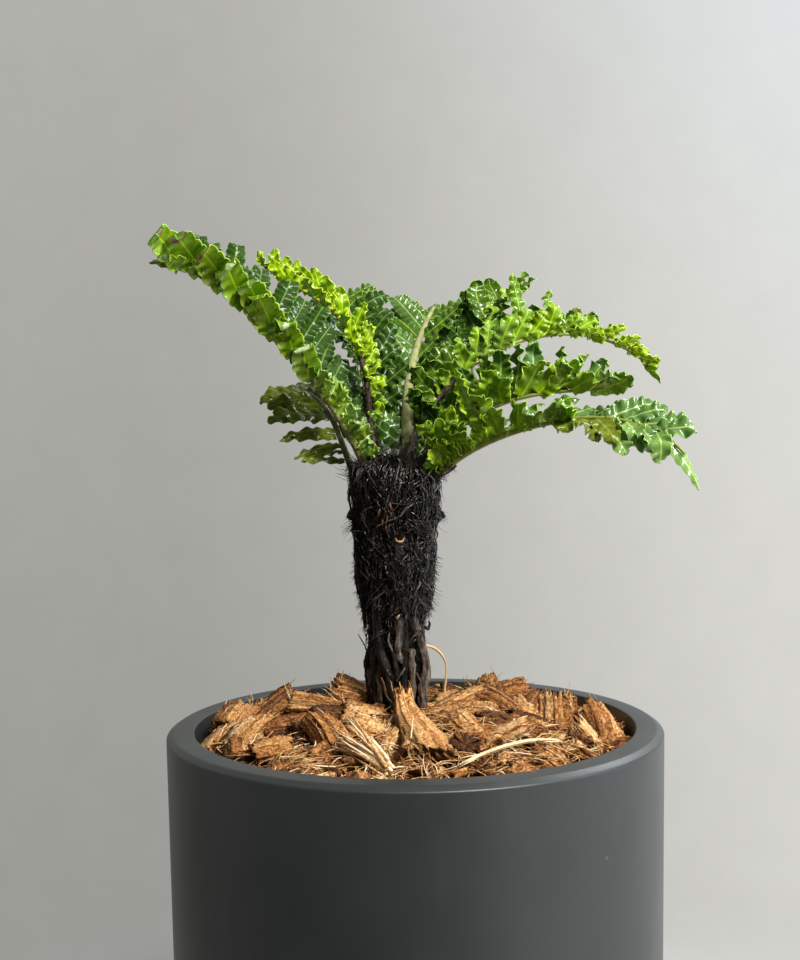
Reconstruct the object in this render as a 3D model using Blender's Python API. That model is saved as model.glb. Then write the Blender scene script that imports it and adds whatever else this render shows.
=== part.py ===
"""Dwarf tree fern in a straight-sided pot, at its real size: metres, +Z up.

The origin is the centre of the pot's flat underside. The pot holds a plug of potting mix and a
mulch of husk chips. The trunk stands on the mix and rises through the mulch. Its crown carries
short leaf bases, and each frond starts on one of them, a small gap clear.
"""
import math
import random
from dataclasses import dataclass

import bmesh
import bpy
from mathutils import Vector
from mathutils.bvhtree import BVHTree

MM = 0.001
GAP = 0.3 * MM
SEED = 11

# Pot
POT_HEIGHT = 140 * MM
POT_RADIUS = 75 * MM
POT_TAPER = 0.017
RIM_BEVEL_HEIGHT = 1.3 * MM
RIM_TOP_RADIUS = 73 * MM
RIM_INNER_RADIUS = 66.8 * MM
RIM_INNER_ROUND = 0.8 * MM
POT_FLOOR = 8 * MM
FOOT_ROUND = 3 * MM
POT_SIDES = 64

# Potting mix and mulch
MIX_TOP = 128 * MM
MIX_CLEARANCE = 0.5 * MM
MULCH_EDGE_TOP = 132.5 * MM
MULCH_RISE = 8.5 * MM
MULCH_SIDES = 36
MULCH_RINGS = 7
MULCH_HOLE_CLEARANCE = 2.6 * MM
MULCH_HOLE_HEIGHTS = (126, 130, 134, 139, 145, 160)
CHIP_COUNT = 46
CHIP_REACH = 54 * MM
CHIP_LENGTHS = (12 * MM, 18 * MM)
CHIP_WIDTHS = (7 * MM, 11 * MM)
CHIP_DEPTHS = (4 * MM, 6.5 * MM)
CHIP_LIFTS = (-0.5 * MM, 1.6 * MM)
CHIP_TILT = 22
CHIP_ROLL = 30
CHIP_WANDER = 0.2
CHIP_FIRST = 0.8
CHIP_OUTLINE = ((-0.5, 1.0, 0.85), (0.1, 1.05, 1.0), (0.5, 0.72, 0.6))

# Chips that stand up out of the mulch: x, y and height of the middle, length, width and depth,
# all in millimetres, then the turn and the tilt
STANDING_CHIPS = (
    (2.0, -14.5, 144.5, 17, 8, 3.5, 100, 72),
    (8.0, -26.0, 140.5, 17, 8, 4.5, 140, 38),
    (41.0, -2.0, 141.0, 16, 10, 5.5, 75, 62),
    (53.0, -9.0, 138.0, 13, 10, 7.0, 40, 35),
    (-22.0, -20.0, 141.0, 16, 9, 4.0, 120, 30),
    (18.0, 10.0, 143.5, 15, 10, 5.0, 60, 40),
    (-21.0, 10.0, 143.5, 15, 9, 5.0, 150, 45),
)
STANDING_CHIP_ROLL = 12

# Trunk: heights above the underside, with the radius of the column there
TRUNK_CENTRE_X = -5.5 * MM
TRUNK_LEAN = 0.3 * MM
TRUNK_SIDES = 26
TRUNK_OUTLINE = (
    (128.3, 13.2), (132.0, 11.4), (138.0, 9.6), (146.0, 8.8), (154.0, 9.2), (161.0, 8.6),
    (169.0, 8.6), (178.0, 9.9), (188.0, 11.4), (198.0, 12.2), (207.0, 12.4), (213.0, 12.6),
    (216.5, 11.6), (219.0, 9.2), (220.6, 5.6),
)
TRUNK_LOBES = 7
TRUNK_LOBE_DEPTH = 0.05
TRUNK_TWIST = 0.01

# Root strands that run down the outside of the trunk: bearing, top, drift round, radius
STRANDS = (
    (-28, 172, -12, 2.1), (-72, 176, 16, 1.6), (-100, 168, -22, 1.9), (-128, 179, 10, 1.4),
    (182, 170, 16, 2.2), (148, 176, -14, 1.6), (108, 172, 20, 1.8), (70, 178, -16, 1.7),
    (24, 174, 14, 1.8),
)
STRAND_SIDES = 6
STRAND_STEPS = 9
STRAND_BEND = 2.2
STRAND_PROUD = 0.3
STRAND_RUN_IN = 4
STRAND_SWELL = 0.45
STRAND_THICK_FROM = 0.15
STRAND_THICK_OVER = 0.7
STRAND_TOP_SUNK = 0.3
STRAND_FOOT_CLEARANCE = 1.2 * MM

# Old leaf bases between the roots and the crown
OLD_BASES = 15
OLD_BASE_LOW = 172 * MM
OLD_BASE_HIGH = 209 * MM
OLD_BASE_RADIUS = 1.9 * MM
OLD_BASE_LENGTH = 4.6 * MM
OLD_BASE_SUNK = 2.2 * MM
OLD_BASE_RISE = 1.1
OLD_BASE_SIDES = 6
OLD_BASE_TAPER = ((0.0, 1.0), (0.6, 0.9), (1.0, 0.6))

# Longer stubs of spent leaves: bearing, height, length, radius
SPENT_STUBS = ((-8, 211.0, 8.0, 1.5), (186, 201.0, 5.0, 1.2), (-4, 199.5, 5.0, 1.1))

GOLDEN_ANGLE = math.radians(137.5)

# Fronds
RIB_STEPS = 96
RIB_CHECKS = 24
RIB_FOOT_WIDTH = 1.5 * MM
RIB_TIP_WIDTH = 0.45 * MM
RIB_FOOT_DEPTH = 1.3 * MM
RIB_TIP_DEPTH = 0.4 * MM
LEAFLET_SPACING = 6.3 * MM
LEAFLET_ROOT_SHARE = 0.68
LEAFLET_WIDTH = 5.6 * MM
LONG_LEAFLET = 32 * MM
NARROW_SHARE = 0.45
LEAFLET_THICKNESS = 0.55 * MM
LEAFLET_CRISP = 0.55 * MM
LEAFLET_OUTLINE = ((0.12, 0.74, 0.0), (0.38, 1.0, 1.0), (0.64, 0.92, -1.0), (0.86, 0.74, 1.0),
                   (1.0, 0.36, 0.0))
LEAFLET_CLEARANCE = 0.45 * MM
LEAFLET_TRIES = 7
LEAFLET_SHRINK = 0.85
LEAFLET_SLIM = 0.94
TERMINAL_OUTLINE = ((0.3, 1.9 * MM), (0.7, 1.6 * MM), (1.0, 0.6 * MM))
SOCKET_RADIUS = 2.0 * MM
SOCKET_TAPER = 0.85
SOCKET_SIDES = 8
SOCKET_DEPTH = 8 * MM
SOCKET_STANDS_OUT = 1.2 * MM


@dataclass(frozen=True)
class Row:
    """One row of leaflets. The folds are their angle above the frond's own plane at its foot, middle
    and tip, the sweep leans them towards the tip, and the louvre turns each about its midrib. The
    lengths are in millimetres at the foot, middle and tip."""

    folds: tuple
    sweep: float
    louvre: float
    lengths: tuple


@dataclass(frozen=True)
class Frond:
    """One frond: where it stands beside the trunk's axis, how its rib runs, and its leaflet rows.
    The heading turns evenly from foot to tip, and the lifts are the rib's angle above level at its
    foot, third, two thirds and tip. The bare share has no leaflets, and the terminal ends it. The
    foot, length and terminal are in millimetres."""

    name: str
    foot: tuple
    heading: tuple
    lifts: tuple
    length: float
    bare: float
    terminal: float
    left: Row
    right: Row
    colour: tuple


DARK = (0.045, 0.12, 0.02, 1.0)
MID = (0.09, 0.23, 0.02, 1.0)
BRIGHT = (0.22, 0.42, 0.02, 1.0)

FRONDS = (
    Frond("frond_left_high", (-8.0, -3.0, 215.5), (198, 213), (71, 53, 40, -5), 94, 0.14, 7,
          Row((25, 20, 20), 50, -40, (9, 15, 12)), Row((60, 62, 60), 26, 10, (15, 25, 13)), MID),
    Frond("frond_left_bright", (-5.0, 1.5, 219.0), (158, 140), (69, 76, 32, 57), 90, 0.20, 7,
          Row((55, 55, 55), 46, -20, (7, 12, 10)), Row((60, 55, 50), 40, 15, (8, 14, 11)), BRIGHT),
    Frond("frond_back", (3.0, 6.5, 218.0), (97, 62), (78, 50, 43, 38), 78, 0.12, 7,
          Row((16, 14, 12), 42, 8, (10, 21, 18)), Row((20, 18, 15), 40, 8, (8, 18, 16)), DARK),
    Frond("frond_back_right", (8.0, 8.5, 215.5), (44, 50), (68, 54, 51, 25), 86, 0.12, 7,
          Row((35, 32, 30), 38, 12, (13, 20, 16)), Row((40, 35, 30), 36, 12, (13, 20, 16)), MID),
    Frond("frond_right_arching", (3.5, 1.5, 219.6), (14, 16), (76, 36, 0, -52), 109, 0.12, 7,
          Row((50, 50, 48), 32, 12, (11, 15, 7)), Row((52, 50, 50), 38, -22, (13, 14, 7)), BRIGHT),
    Frond("frond_right_middle", (6.5, -3.5, 218.0), (-4, -13), (43, 31, 6, 10), 69, 0.12, 7,
          Row((68, 58, 50), 24, 10, (12, 18, 12)), Row((64, 52, 40), 30, -15, (11, 15, 11)), MID),
    Frond("frond_right_low", (11.5, -4.5, 213.5), (-35, -32), (45, 15, -7, -73), 94, 0.06, 15,
          Row((60, 22, 15), 30, 10, (12, 20, 14)), Row((76, 12, -58), 18, -8, (18, 18, 14)), DARK),
    Frond("frond_left_low", (-11.0, 4.5, 213.5), (125, 130), (40, 55, 24, 8), 62, 0.12, 7,
          Row((0, -5, -10), 2, -34, (14, 20, 15)), Row((15, 10, 8), 15, -30, (10, 14, 11)), DARK),
    Frond("frond_back_low", (1.5, 11.8, 213.0), (98, 84), (38, 24, 8, -22), 66, 0.12, 7,
          Row((14, 10, 8), 30, 8, (11, 17, 11)), Row((16, 12, 8), 30, 8, (11, 17, 11)), MID),
    Frond("frond_back_left", (-4.5, 8.5, 216.5), (128, 99), (66, 74, 50, 18), 82, 0.16, 7,
          Row((28, 25, 22), 36, 10, (11, 17, 13)), Row((30, 26, 22), 36, 10, (11, 17, 13)), DARK),
)


def material(name, colour, roughness):
    """A Principled material with one colour and roughness."""
    made = bpy.data.materials.new(name)
    made.use_nodes = True
    shader = made.node_tree.nodes["Principled BSDF"]
    shader.inputs["Base Color"].default_value = colour
    shader.inputs["Roughness"].default_value = roughness
    shader.inputs["Metallic"].default_value = 0.0
    return made


def add_object(name, points, faces, finish=None):
    """An object from points and faces, with its faces pointing out."""
    work = bmesh.new()
    corners = [work.verts.new(point) for point in points]
    for face in faces:
        work.faces.new([corners[index] for index in face])
    bmesh.ops.recalc_face_normals(work, faces=work.faces)
    mesh = bpy.data.meshes.new(name)
    work.to_mesh(mesh)
    work.free()
    made = bpy.data.objects.new(name, mesh)
    bpy.context.scene.collection.objects.link(made)
    if finish:
        mesh.materials.append(finish)
    return made


def smooth(piece, angle=40):
    """Smooth shading with sharp edges over the angle."""
    piece.data.shade_smooth()
    piece.data.set_sharp_from_angle(angle=math.radians(angle))


def turned(name, profile, sides, finish=None, centre_x=0.0):
    """A body of revolution from (radius, height) points; a radius of 0 closes it at the axis."""
    points, rings = [], []
    for radius, height in profile:
        if radius == 0:
            rings.append([len(points)])
            points.append(Vector((centre_x, 0, height)))
            continue
        rings.append(list(range(len(points), len(points) + sides)))
        for step in range(sides):
            angle = math.tau * step / sides
            points.append(Vector((centre_x + radius * math.cos(angle),
                                  radius * math.sin(angle), height)))
    return add_object(name, points, skin(rings, sides), finish)


def skin(rings, sides):
    """Faces between rings of indices; a ring of one index is a point."""
    faces = []
    for low, high in zip(rings, rings[1:]):
        for step in range(sides):
            after = (step + 1) % sides
            if len(low) == 1:
                faces.append((low[0], high[after], high[step]))
            elif len(high) == 1:
                faces.append((low[step], low[after], high[0]))
            else:
                faces.append((low[step], low[after], high[after], high[step]))
    return faces


def tube(name, path, radii, sides):
    """A closed tube with flat ends along a path of points."""
    points, rings = [], []
    for index, (centre, radius) in enumerate(zip(path, radii)):
        along = (path[min(index + 1, len(path) - 1)] - path[max(index - 1, 0)]).normalized()
        side = along.cross(Vector((0, 0, 1)) if abs(along.z) < 0.9 else Vector((1, 0, 0)))
        side.normalize()
        other = along.cross(side)
        rings.append(list(range(len(points), len(points) + sides)))
        for step in range(sides):
            angle = math.tau * step / sides
            spoke = side * math.cos(angle) + other * math.sin(angle)
            points.append(centre + spoke * radius)
    faces = skin(rings, sides) + [tuple(rings[0]), tuple(rings[-1])]
    return add_object(name, points, faces)


def combined(base, others, operation):
    """The base with the others joined to it or cut from it, and the others removed."""
    group = bpy.data.collections.new("helpers")
    bpy.context.scene.collection.children.link(group)
    for other in others:
        bpy.context.scene.collection.objects.unlink(other)
        group.objects.link(other)
    boolean = base.modifiers.new("combine", "BOOLEAN")
    boolean.operation = operation
    boolean.operand_type = "COLLECTION"
    boolean.collection = group
    boolean.solver = "EXACT"
    depsgraph = bpy.context.evaluated_depsgraph_get()
    result = bpy.data.meshes.new_from_object(base.evaluated_get(depsgraph))
    base.modifiers.clear()
    base.data = result
    for other in others:
        bpy.data.objects.remove(other)
    bpy.data.collections.remove(group)
    return base


def arc(centre, radius, first, last, steps):
    """Points of an arc in the (radius, height) plane, with its angles in degrees."""
    points = []
    for step in range(steps + 1):
        angle = math.radians(first + (last - first) * step / steps)
        points.append((centre[0] + radius * math.cos(angle), centre[1] + radius * math.sin(angle)))
    return points


def inner_wall(height):
    """The radius of the pot's inner wall at a height."""
    return RIM_INNER_RADIUS - POT_TAPER * (POT_HEIGHT - height)


def make_pot(finish):
    """The pot: flat underside, slightly tapered wall and a flat rim with a bevelled outer edge."""
    side_top = POT_HEIGHT - RIM_BEVEL_HEIGHT
    foot_radius = POT_RADIUS - POT_TAPER * side_top
    profile = [(0, 0)]
    profile += arc((foot_radius - FOOT_ROUND, FOOT_ROUND), FOOT_ROUND, -90, 0, 4)
    profile += [(POT_RADIUS, side_top), (RIM_TOP_RADIUS, POT_HEIGHT)]
    profile += arc((RIM_INNER_RADIUS + RIM_INNER_ROUND, POT_HEIGHT - RIM_INNER_ROUND),
                   RIM_INNER_ROUND, 90, 180, 2)
    profile += [(inner_wall(POT_FLOOR + FOOT_ROUND), POT_FLOOR + FOOT_ROUND)]
    profile += [(inner_wall(POT_FLOOR) - FOOT_ROUND, POT_FLOOR), (0, POT_FLOOR)]
    pot = turned("pot", profile, POT_SIDES, finish)
    smooth(pot)
    return pot


def make_mix(finish):
    """The plug of potting mix under the mulch."""
    low = POT_FLOOR + GAP
    bevel = FOOT_ROUND + MIX_CLEARANCE
    profile = [(0, low), (inner_wall(low) - bevel - MIX_CLEARANCE, low),
               (inner_wall(low + bevel) - MIX_CLEARANCE, low + bevel),
               (inner_wall(MIX_TOP) - MIX_CLEARANCE, MIX_TOP), (0, MIX_TOP)]
    return turned("potting_mix", profile, MULCH_SIDES, finish)


def mulch_height(radius):
    """The height of the mulch between its chips: heaped round the trunk, lower at the wall."""
    share = min(radius / RIM_INNER_RADIUS, 1.0)
    return MULCH_EDGE_TOP + MULCH_RISE * (1 - share * share)


def trunk_radius(height):
    """The radius of the trunk's column at a height."""
    low = TRUNK_OUTLINE[0]
    for high in TRUNK_OUTLINE[1:]:
        if height <= high[0] * MM:
            share = (height / MM - low[0]) / (high[0] - low[0])
            return (low[1] + (high[1] - low[1]) * max(share, 0.0)) * MM
        low = high
    return 0.0


def trunk_axis(height):
    """The centre of the trunk at a height."""
    low, high = TRUNK_OUTLINE[0][0] * MM, TRUNK_OUTLINE[-1][0] * MM
    return Vector((TRUNK_CENTRE_X + TRUNK_LEAN * (height - low) / (high - low), 0, height))


def chip(name, centre, size, turn, tilt, roll):
    """One husk chip: a block with a ragged, slightly narrowed end."""
    points = []
    level = Vector((math.cos(turn), math.sin(turn), 0)) * math.cos(tilt)
    heading = level + Vector((0, 0, math.sin(tilt)))
    flat_side = Vector((-math.sin(turn), math.cos(turn), 0))
    flat_up = heading.cross(flat_side)
    side = flat_side * math.cos(roll) + flat_up * math.sin(roll)
    up = flat_up * math.cos(roll) - flat_side * math.sin(roll)
    for along, wide, deep in CHIP_OUTLINE:
        for across, rise in ((-1, -1), (1, -1), (1, 1), (-1, 1)):
            points.append(centre + heading * along * size[0] + side * across * wide * size[1] / 2
                          + up * rise * deep * size[2] / 2)
    faces = skin([[0, 1, 2, 3], [4, 5, 6, 7], [8, 9, 10, 11]], 4) + [(0, 1, 2, 3), (8, 9, 10, 11)]
    return add_object(name, points, faces)


def make_mulch(finish):
    """The mulch: a low mound with a hole for the trunk, and husk chips fused half into it."""
    rng = random.Random(SEED)
    wall = inner_wall(MIX_TOP) - MIX_CLEARANCE
    profile = [(0, MIX_TOP + GAP), (wall, MIX_TOP + GAP)]
    for ring in range(MULCH_RINGS):
        radius = wall * (1 - ring / MULCH_RINGS)
        profile.append((radius, mulch_height(radius)))
    profile.append((0, mulch_height(0)))
    mound = turned("husk_mulch", profile, MULCH_SIDES, finish)
    chips = []
    for index in range(CHIP_COUNT):
        radius = CHIP_REACH * math.sqrt((index + CHIP_FIRST) / CHIP_COUNT)
        angle = index * GOLDEN_ANGLE + rng.uniform(-CHIP_WANDER, CHIP_WANDER)
        centre = Vector((radius * math.cos(angle), radius * math.sin(angle), 0))
        centre.z = mulch_height(radius) + rng.uniform(*CHIP_LIFTS)
        size = (rng.uniform(*CHIP_LENGTHS), rng.uniform(*CHIP_WIDTHS), rng.uniform(*CHIP_DEPTHS))
        turn = rng.uniform(0, math.tau)
        tilt = math.radians(rng.uniform(-CHIP_TILT, CHIP_TILT))
        roll = math.radians(rng.uniform(-CHIP_ROLL, CHIP_ROLL))
        chips.append(chip(f"chip_{index}", centre, size, turn, tilt, roll))
    for index, (x, y, z, length, width, depth, turn, tilt) in enumerate(STANDING_CHIPS):
        size = (length * MM, width * MM, depth * MM)
        chips.append(chip(f"standing_chip_{index}", Vector((x, y, z)) * MM, size,
                          math.radians(turn), math.radians(tilt), math.radians(STANDING_CHIP_ROLL)))
    mulch = combined(mound, chips, "UNION")
    hole = [(0, MULCH_HOLE_HEIGHTS[0] * MM)]
    for height in MULCH_HOLE_HEIGHTS:
        hole.append((trunk_radius(height * MM) + MULCH_HOLE_CLEARANCE, height * MM))
    hole.append((0, MULCH_HOLE_HEIGHTS[-1] * MM))
    cutter = turned("hole", hole, TRUNK_SIDES, centre_x=TRUNK_CENTRE_X)
    return combined(mulch, [cutter], "DIFFERENCE")


def blend(values, share):
    """The smooth curve through evenly spaced values, read at a share of its length."""
    last = len(values) - 1
    total = 0.0
    for index, value in enumerate(values):
        weight = 1.0
        for other in range(len(values)):
            if other != index:
                weight *= (share * last - other) / (index - other)
        total += value * weight
    return total


class Rib:
    """A frond's rib: a curve stepped from its foot, with the frame at each of its places."""

    def __init__(self, frond):
        """Step the curve out from the frond's foot."""
        self.frond = frond
        self.length = frond.length * MM
        start = Vector(frond.foot) * MM
        start.x += trunk_axis(start.z).x
        self.points = [start]
        for index in range(RIB_STEPS):
            along, _ = self.ways((index + 0.5) / RIB_STEPS)
            self.points.append(self.points[-1] + along * self.length / RIB_STEPS)

    def ways(self, share):
        """The way along the rib and the level way to its left, at a share of its length."""
        lift = math.radians(blend(self.frond.lifts, share))
        first, last = self.frond.heading
        turn = math.radians(first + (last - first) * share)
        along = Vector((math.cos(lift) * math.cos(turn), math.cos(lift) * math.sin(turn),
                        math.sin(lift)))
        return along, Vector((-math.sin(turn), math.cos(turn), 0))

    def place(self, share):
        """The point at a share of the length, with the way along, to the left and up there."""
        position = share * RIB_STEPS
        index = min(int(position), RIB_STEPS - 1)
        point = self.points[index].lerp(self.points[index + 1], position - index)
        along, left = self.ways(share)
        return point, along, left, along.cross(left)

    def half_width(self, share):
        """Half the rib's width at a share of its length."""
        return RIB_FOOT_WIDTH + (RIB_TIP_WIDTH - RIB_FOOT_WIDTH) * share

    def section(self, share):
        """The four corners of the rib: left top, left bottom, right bottom, right top."""
        point, _, left, up = self.place(share)
        wide = left * self.half_width(share)
        deep = up * (RIB_FOOT_DEPTH + (RIB_TIP_DEPTH - RIB_FOOT_DEPTH) * share)
        return [point + wide + deep, point + wide - deep, point - wide - deep, point - wide + deep]


def leaflet_rings(rib, share, row, side, length, width, swell=0.0):
    """The four-cornered sections of one leaflet, from its neck to its tip."""
    point, along, left, up = rib.place(share)
    fold = math.radians(blend(row.folds, share))
    sweep, louvre = math.radians(row.sweep), math.radians(row.louvre)
    half = left * side * math.cos(fold) + up * math.sin(fold)
    reach = half * math.cos(sweep) + along * math.sin(sweep)
    flat_across = along * math.cos(sweep) - half * math.sin(sweep)
    flat_normal = up * math.cos(fold) - left * side * math.sin(fold)
    across = flat_across * math.cos(louvre) + flat_normal * math.sin(louvre)
    normal = flat_normal * math.cos(louvre) - flat_across * math.sin(louvre)
    root = point + left * side * rib.half_width(share)
    rings = []
    for out, wide, crisp in LEAFLET_OUTLINE:
        centre = root + reach * (out * length + swell * out) + normal * crisp * LEAFLET_CRISP
        spread = across * (width / 2 * wide + swell)
        thick = normal * (LEAFLET_THICKNESS / 2 + swell)
        rings.append([centre - spread + thick, centre - spread - thick,
                      centre + spread - thick, centre + spread + thick])
    return rings


def shell_tree(rings):
    """A search tree of a leaflet's own skin."""
    points = [corner for ring in rings for corner in ring]
    numbers = [list(range(4 * index, 4 * index + 4)) for index in range(len(rings))]
    faces = skin(numbers, 4) + [tuple(numbers[0]), tuple(numbers[-1])]
    return BVHTree.FromPolygons(points, faces)


def box_of(points):
    """The lowest and highest corners of some points."""
    return ([min(point[axis] for point in points) for axis in range(3)],
            [max(point[axis] for point in points) for axis in range(3)])


def apart(first, second):
    """True where two boxes don't meet."""
    return any(first[1][axis] < second[0][axis] or second[1][axis] < first[0][axis]
               for axis in range(3))


class Taken:
    """The space that is already filled, for a new leaflet to keep clear of."""

    def __init__(self):
        """Start with nothing filled."""
        self.entries = []

    def add(self, owner, points, tree):
        """Fill the space of one body."""
        self.entries.append((owner, box_of(points), tree))

    def meets(self, owner, rings, own_rings):
        """True where the rings touch another body, or own_rings one of the same owner."""
        whole, outer = shell_tree(rings), shell_tree(own_rings)
        box = box_of([corner for ring in rings for corner in ring])
        for other, other_box, tree in self.entries:
            if apart(box, other_box):
                continue
            tested = outer if other == owner else whole
            if tested.overlap(tree):
                return True
        return False


def clear_of_column(point):
    """True where a point stands out of the trunk's column, to its side or above it."""
    axis = trunk_axis(point.z)
    out = math.hypot(point.x - axis.x, point.y - axis.y)
    beside = out > trunk_radius(point.z) + SOCKET_STANDS_OUT
    return beside and out > trunk_radius(point.z - SOCKET_STANDS_OUT)


def socket_share(rib):
    """The share of the rib that its leaf base takes up, until it is clear of the column."""
    share = 0.0
    while not all(clear_of_column(corner) for corner in rib.section(share)):
        share += 1 / RIB_STEPS
    return share


def frond_stations(frond, rib, foot_share, leafy_end):
    """The places of the rib's sections, and which of them begins a pair of leaflets."""
    pairs = round(rib.length * (leafy_end - frond.bare) / LEAFLET_SPACING)
    pitch = (leafy_end - frond.bare) / pairs
    half_root = pitch * LEAFLET_ROOT_SHARE / 2
    bare_steps = max(int((frond.bare - foot_share) * rib.length / (2 * LEAFLET_SPACING)), 1)
    bare_end = frond.bare + pitch / 2 - half_root
    stations = [foot_share + (bare_end - foot_share) * step / bare_steps
                for step in range(bare_steps)]
    leafy = {}
    for pair in range(pairs):
        middle = frond.bare + pitch * (pair + 0.5)
        leafy[len(stations)] = (middle, pair / max(pairs - 1, 1))
        stations += [middle - half_root, middle + half_root]
    return stations, leafy


def draw_out(points, faces, before, rings):
    """Draw a quad out through rings of four points, and close it at the last."""
    for ring in rings:
        after = tuple(range(len(points), len(points) + 4))
        points += ring
        faces += skin([before, after], 4)
        before = after
    faces.append(before)


def terminal_rings(rib, leafy_end):
    """The sections of the small lobe that ends a frond."""
    rings = []
    for out, half_width in TERMINAL_OUTLINE:
        point, _, left, up = rib.place(leafy_end + (1 - leafy_end) * out)
        wide, deep = left * half_width, up * LEAFLET_THICKNESS / 2
        rings.append([point + wide + deep, point + wide - deep,
                      point - wide - deep, point - wide + deep])
    return rings


def make_frond(frond, rib, foot_share, taken, finish):
    """One frond: a four-sided rib with a leaflet drawn out of its side at each place."""
    leafy_end = 1 - frond.terminal * MM / rib.length
    stations, leafy = frond_stations(frond, rib, foot_share, leafy_end)
    points = [corner for share in stations for corner in rib.section(share)]
    faces = [(0, 1, 2, 3)]
    for index in range(len(stations) - 1):
        low, high = 4 * index, 4 * index + 4
        faces += [(low + 3, low, high, high + 3), (low + 1, low + 2, high + 2, high + 1)]
        sides = ((1, frond.left, (low, low + 1, high + 1, high)),
                 (-1, frond.right, (low + 3, low + 2, high + 2, high + 3)))
        for side, row, root in sides:
            rings = []
            if index in leafy:
                middle, along = leafy[index]
                rings = fitted_leaflet(frond, rib, middle, row, side, along, taken)
            draw_out(points, faces, root, rings)
    last = 4 * (len(stations) - 1)
    draw_out(points, faces, (last, last + 1, last + 2, last + 3), terminal_rings(rib, leafy_end))
    return add_object(frond.name, points, faces, finish)


def fitted_leaflet(frond, rib, middle, row, side, along, taken):
    """The rings of one leaflet, shortened until it clears what is there, or none."""
    length = blend(row.lengths, along) * MM
    width = LEAFLET_WIDTH * min(1.0, NARROW_SHARE + length / LONG_LEAFLET)
    for _ in range(LEAFLET_TRIES):
        swollen = leaflet_rings(rib, middle, row, side, length, width, LEAFLET_CLEARANCE)
        if not taken.meets(frond.name, swollen, swollen[1:]):
            rings = leaflet_rings(rib, middle, row, side, length, width)
            taken.add(frond.name, [corner for ring in rings for corner in ring], shell_tree(rings))
            return rings
        length *= LEAFLET_SHRINK
        width *= LEAFLET_SLIM
    return []


def make_trunk(ribs, finish):
    """The trunk: a lobed column with root strands, old leaf bases and a base for each frond."""
    points, rings = [], []
    for height, radius in TRUNK_OUTLINE:
        axis = trunk_axis(height * MM)
        rings.append(list(range(len(points), len(points) + TRUNK_SIDES)))
        for step in range(TRUNK_SIDES):
            angle = math.tau * step / TRUNK_SIDES
            turn = TRUNK_TWIST * (height - TRUNK_OUTLINE[0][0])
            lobe = 1 + TRUNK_LOBE_DEPTH * math.cos(TRUNK_LOBES * (angle + turn))
            reach = radius * MM * lobe
            points.append(axis + Vector((math.cos(angle), math.sin(angle), 0)) * reach)
    faces = skin(rings, TRUNK_SIDES) + [tuple(rings[0]), tuple(rings[-1])]
    column = add_object("trunk", points, faces, finish)
    details = []
    for index, (bearing, top, drift, radius) in enumerate(STRANDS):
        details.append(make_strand(index, bearing, top, drift, radius))
    for index in range(OLD_BASES):
        height = OLD_BASE_LOW + (OLD_BASE_HIGH - OLD_BASE_LOW) * index / (OLD_BASES - 1)
        details.append(make_stub(f"old_base_{index}", index * GOLDEN_ANGLE, height,
                                 OLD_BASE_LENGTH, OLD_BASE_RADIUS))
    for index, (bearing, height, length, radius) in enumerate(SPENT_STUBS):
        details.append(make_stub(f"spent_stub_{index}", math.radians(bearing), height * MM,
                                 length * MM, radius * MM))
    for rib, share in ribs:
        end, along, _, _ = rib.place(share)
        details.append(tube("leaf_base", [end - along * SOCKET_DEPTH, end],
                            [SOCKET_RADIUS * SOCKET_TAPER, SOCKET_RADIUS], SOCKET_SIDES))
    return combined(column, details, "UNION")


def make_stub(name, bearing, height, length, radius):
    """One stub of an old leaf, which leans out and up from inside the column."""
    out = Vector((math.cos(bearing), math.sin(bearing), 0))
    start = trunk_axis(height) + out * (trunk_radius(height) - OLD_BASE_SUNK)
    lean = (out + Vector((0, 0, OLD_BASE_RISE))).normalized()
    path = [start + lean * length * share for share, _ in OLD_BASE_TAPER]
    return tube(name, path, [radius * taper for _, taper in OLD_BASE_TAPER], OLD_BASE_SIDES)


def make_strand(index, bearing, top, drift, radius):
    """One root strand down the outside of the trunk, ending just above the flat cut."""
    low = TRUNK_OUTLINE[0][0] * MM + STRAND_FOOT_CLEARANCE
    path, radii = [], []
    for step in range(STRAND_STEPS):
        share = step / (STRAND_STEPS - 1)
        height = top * MM + (low - top * MM) * share
        angle = math.radians(bearing + drift * math.sin(STRAND_BEND * share))
        swell = math.sin(math.pi * (STRAND_THICK_FROM + STRAND_THICK_OVER * share))
        thick = radius * MM * (1 - STRAND_SWELL * (1 - swell))
        proud = thick * (STRAND_PROUD * min(share * STRAND_RUN_IN, 1.0) - STRAND_TOP_SUNK)
        spoke = Vector((math.cos(angle), math.sin(angle), 0))
        path.append(trunk_axis(height) + spoke * (trunk_radius(height) + proud))
        radii.append(thick)
    return tube(f"strand_{index}", path, radii, STRAND_SIDES)


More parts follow.
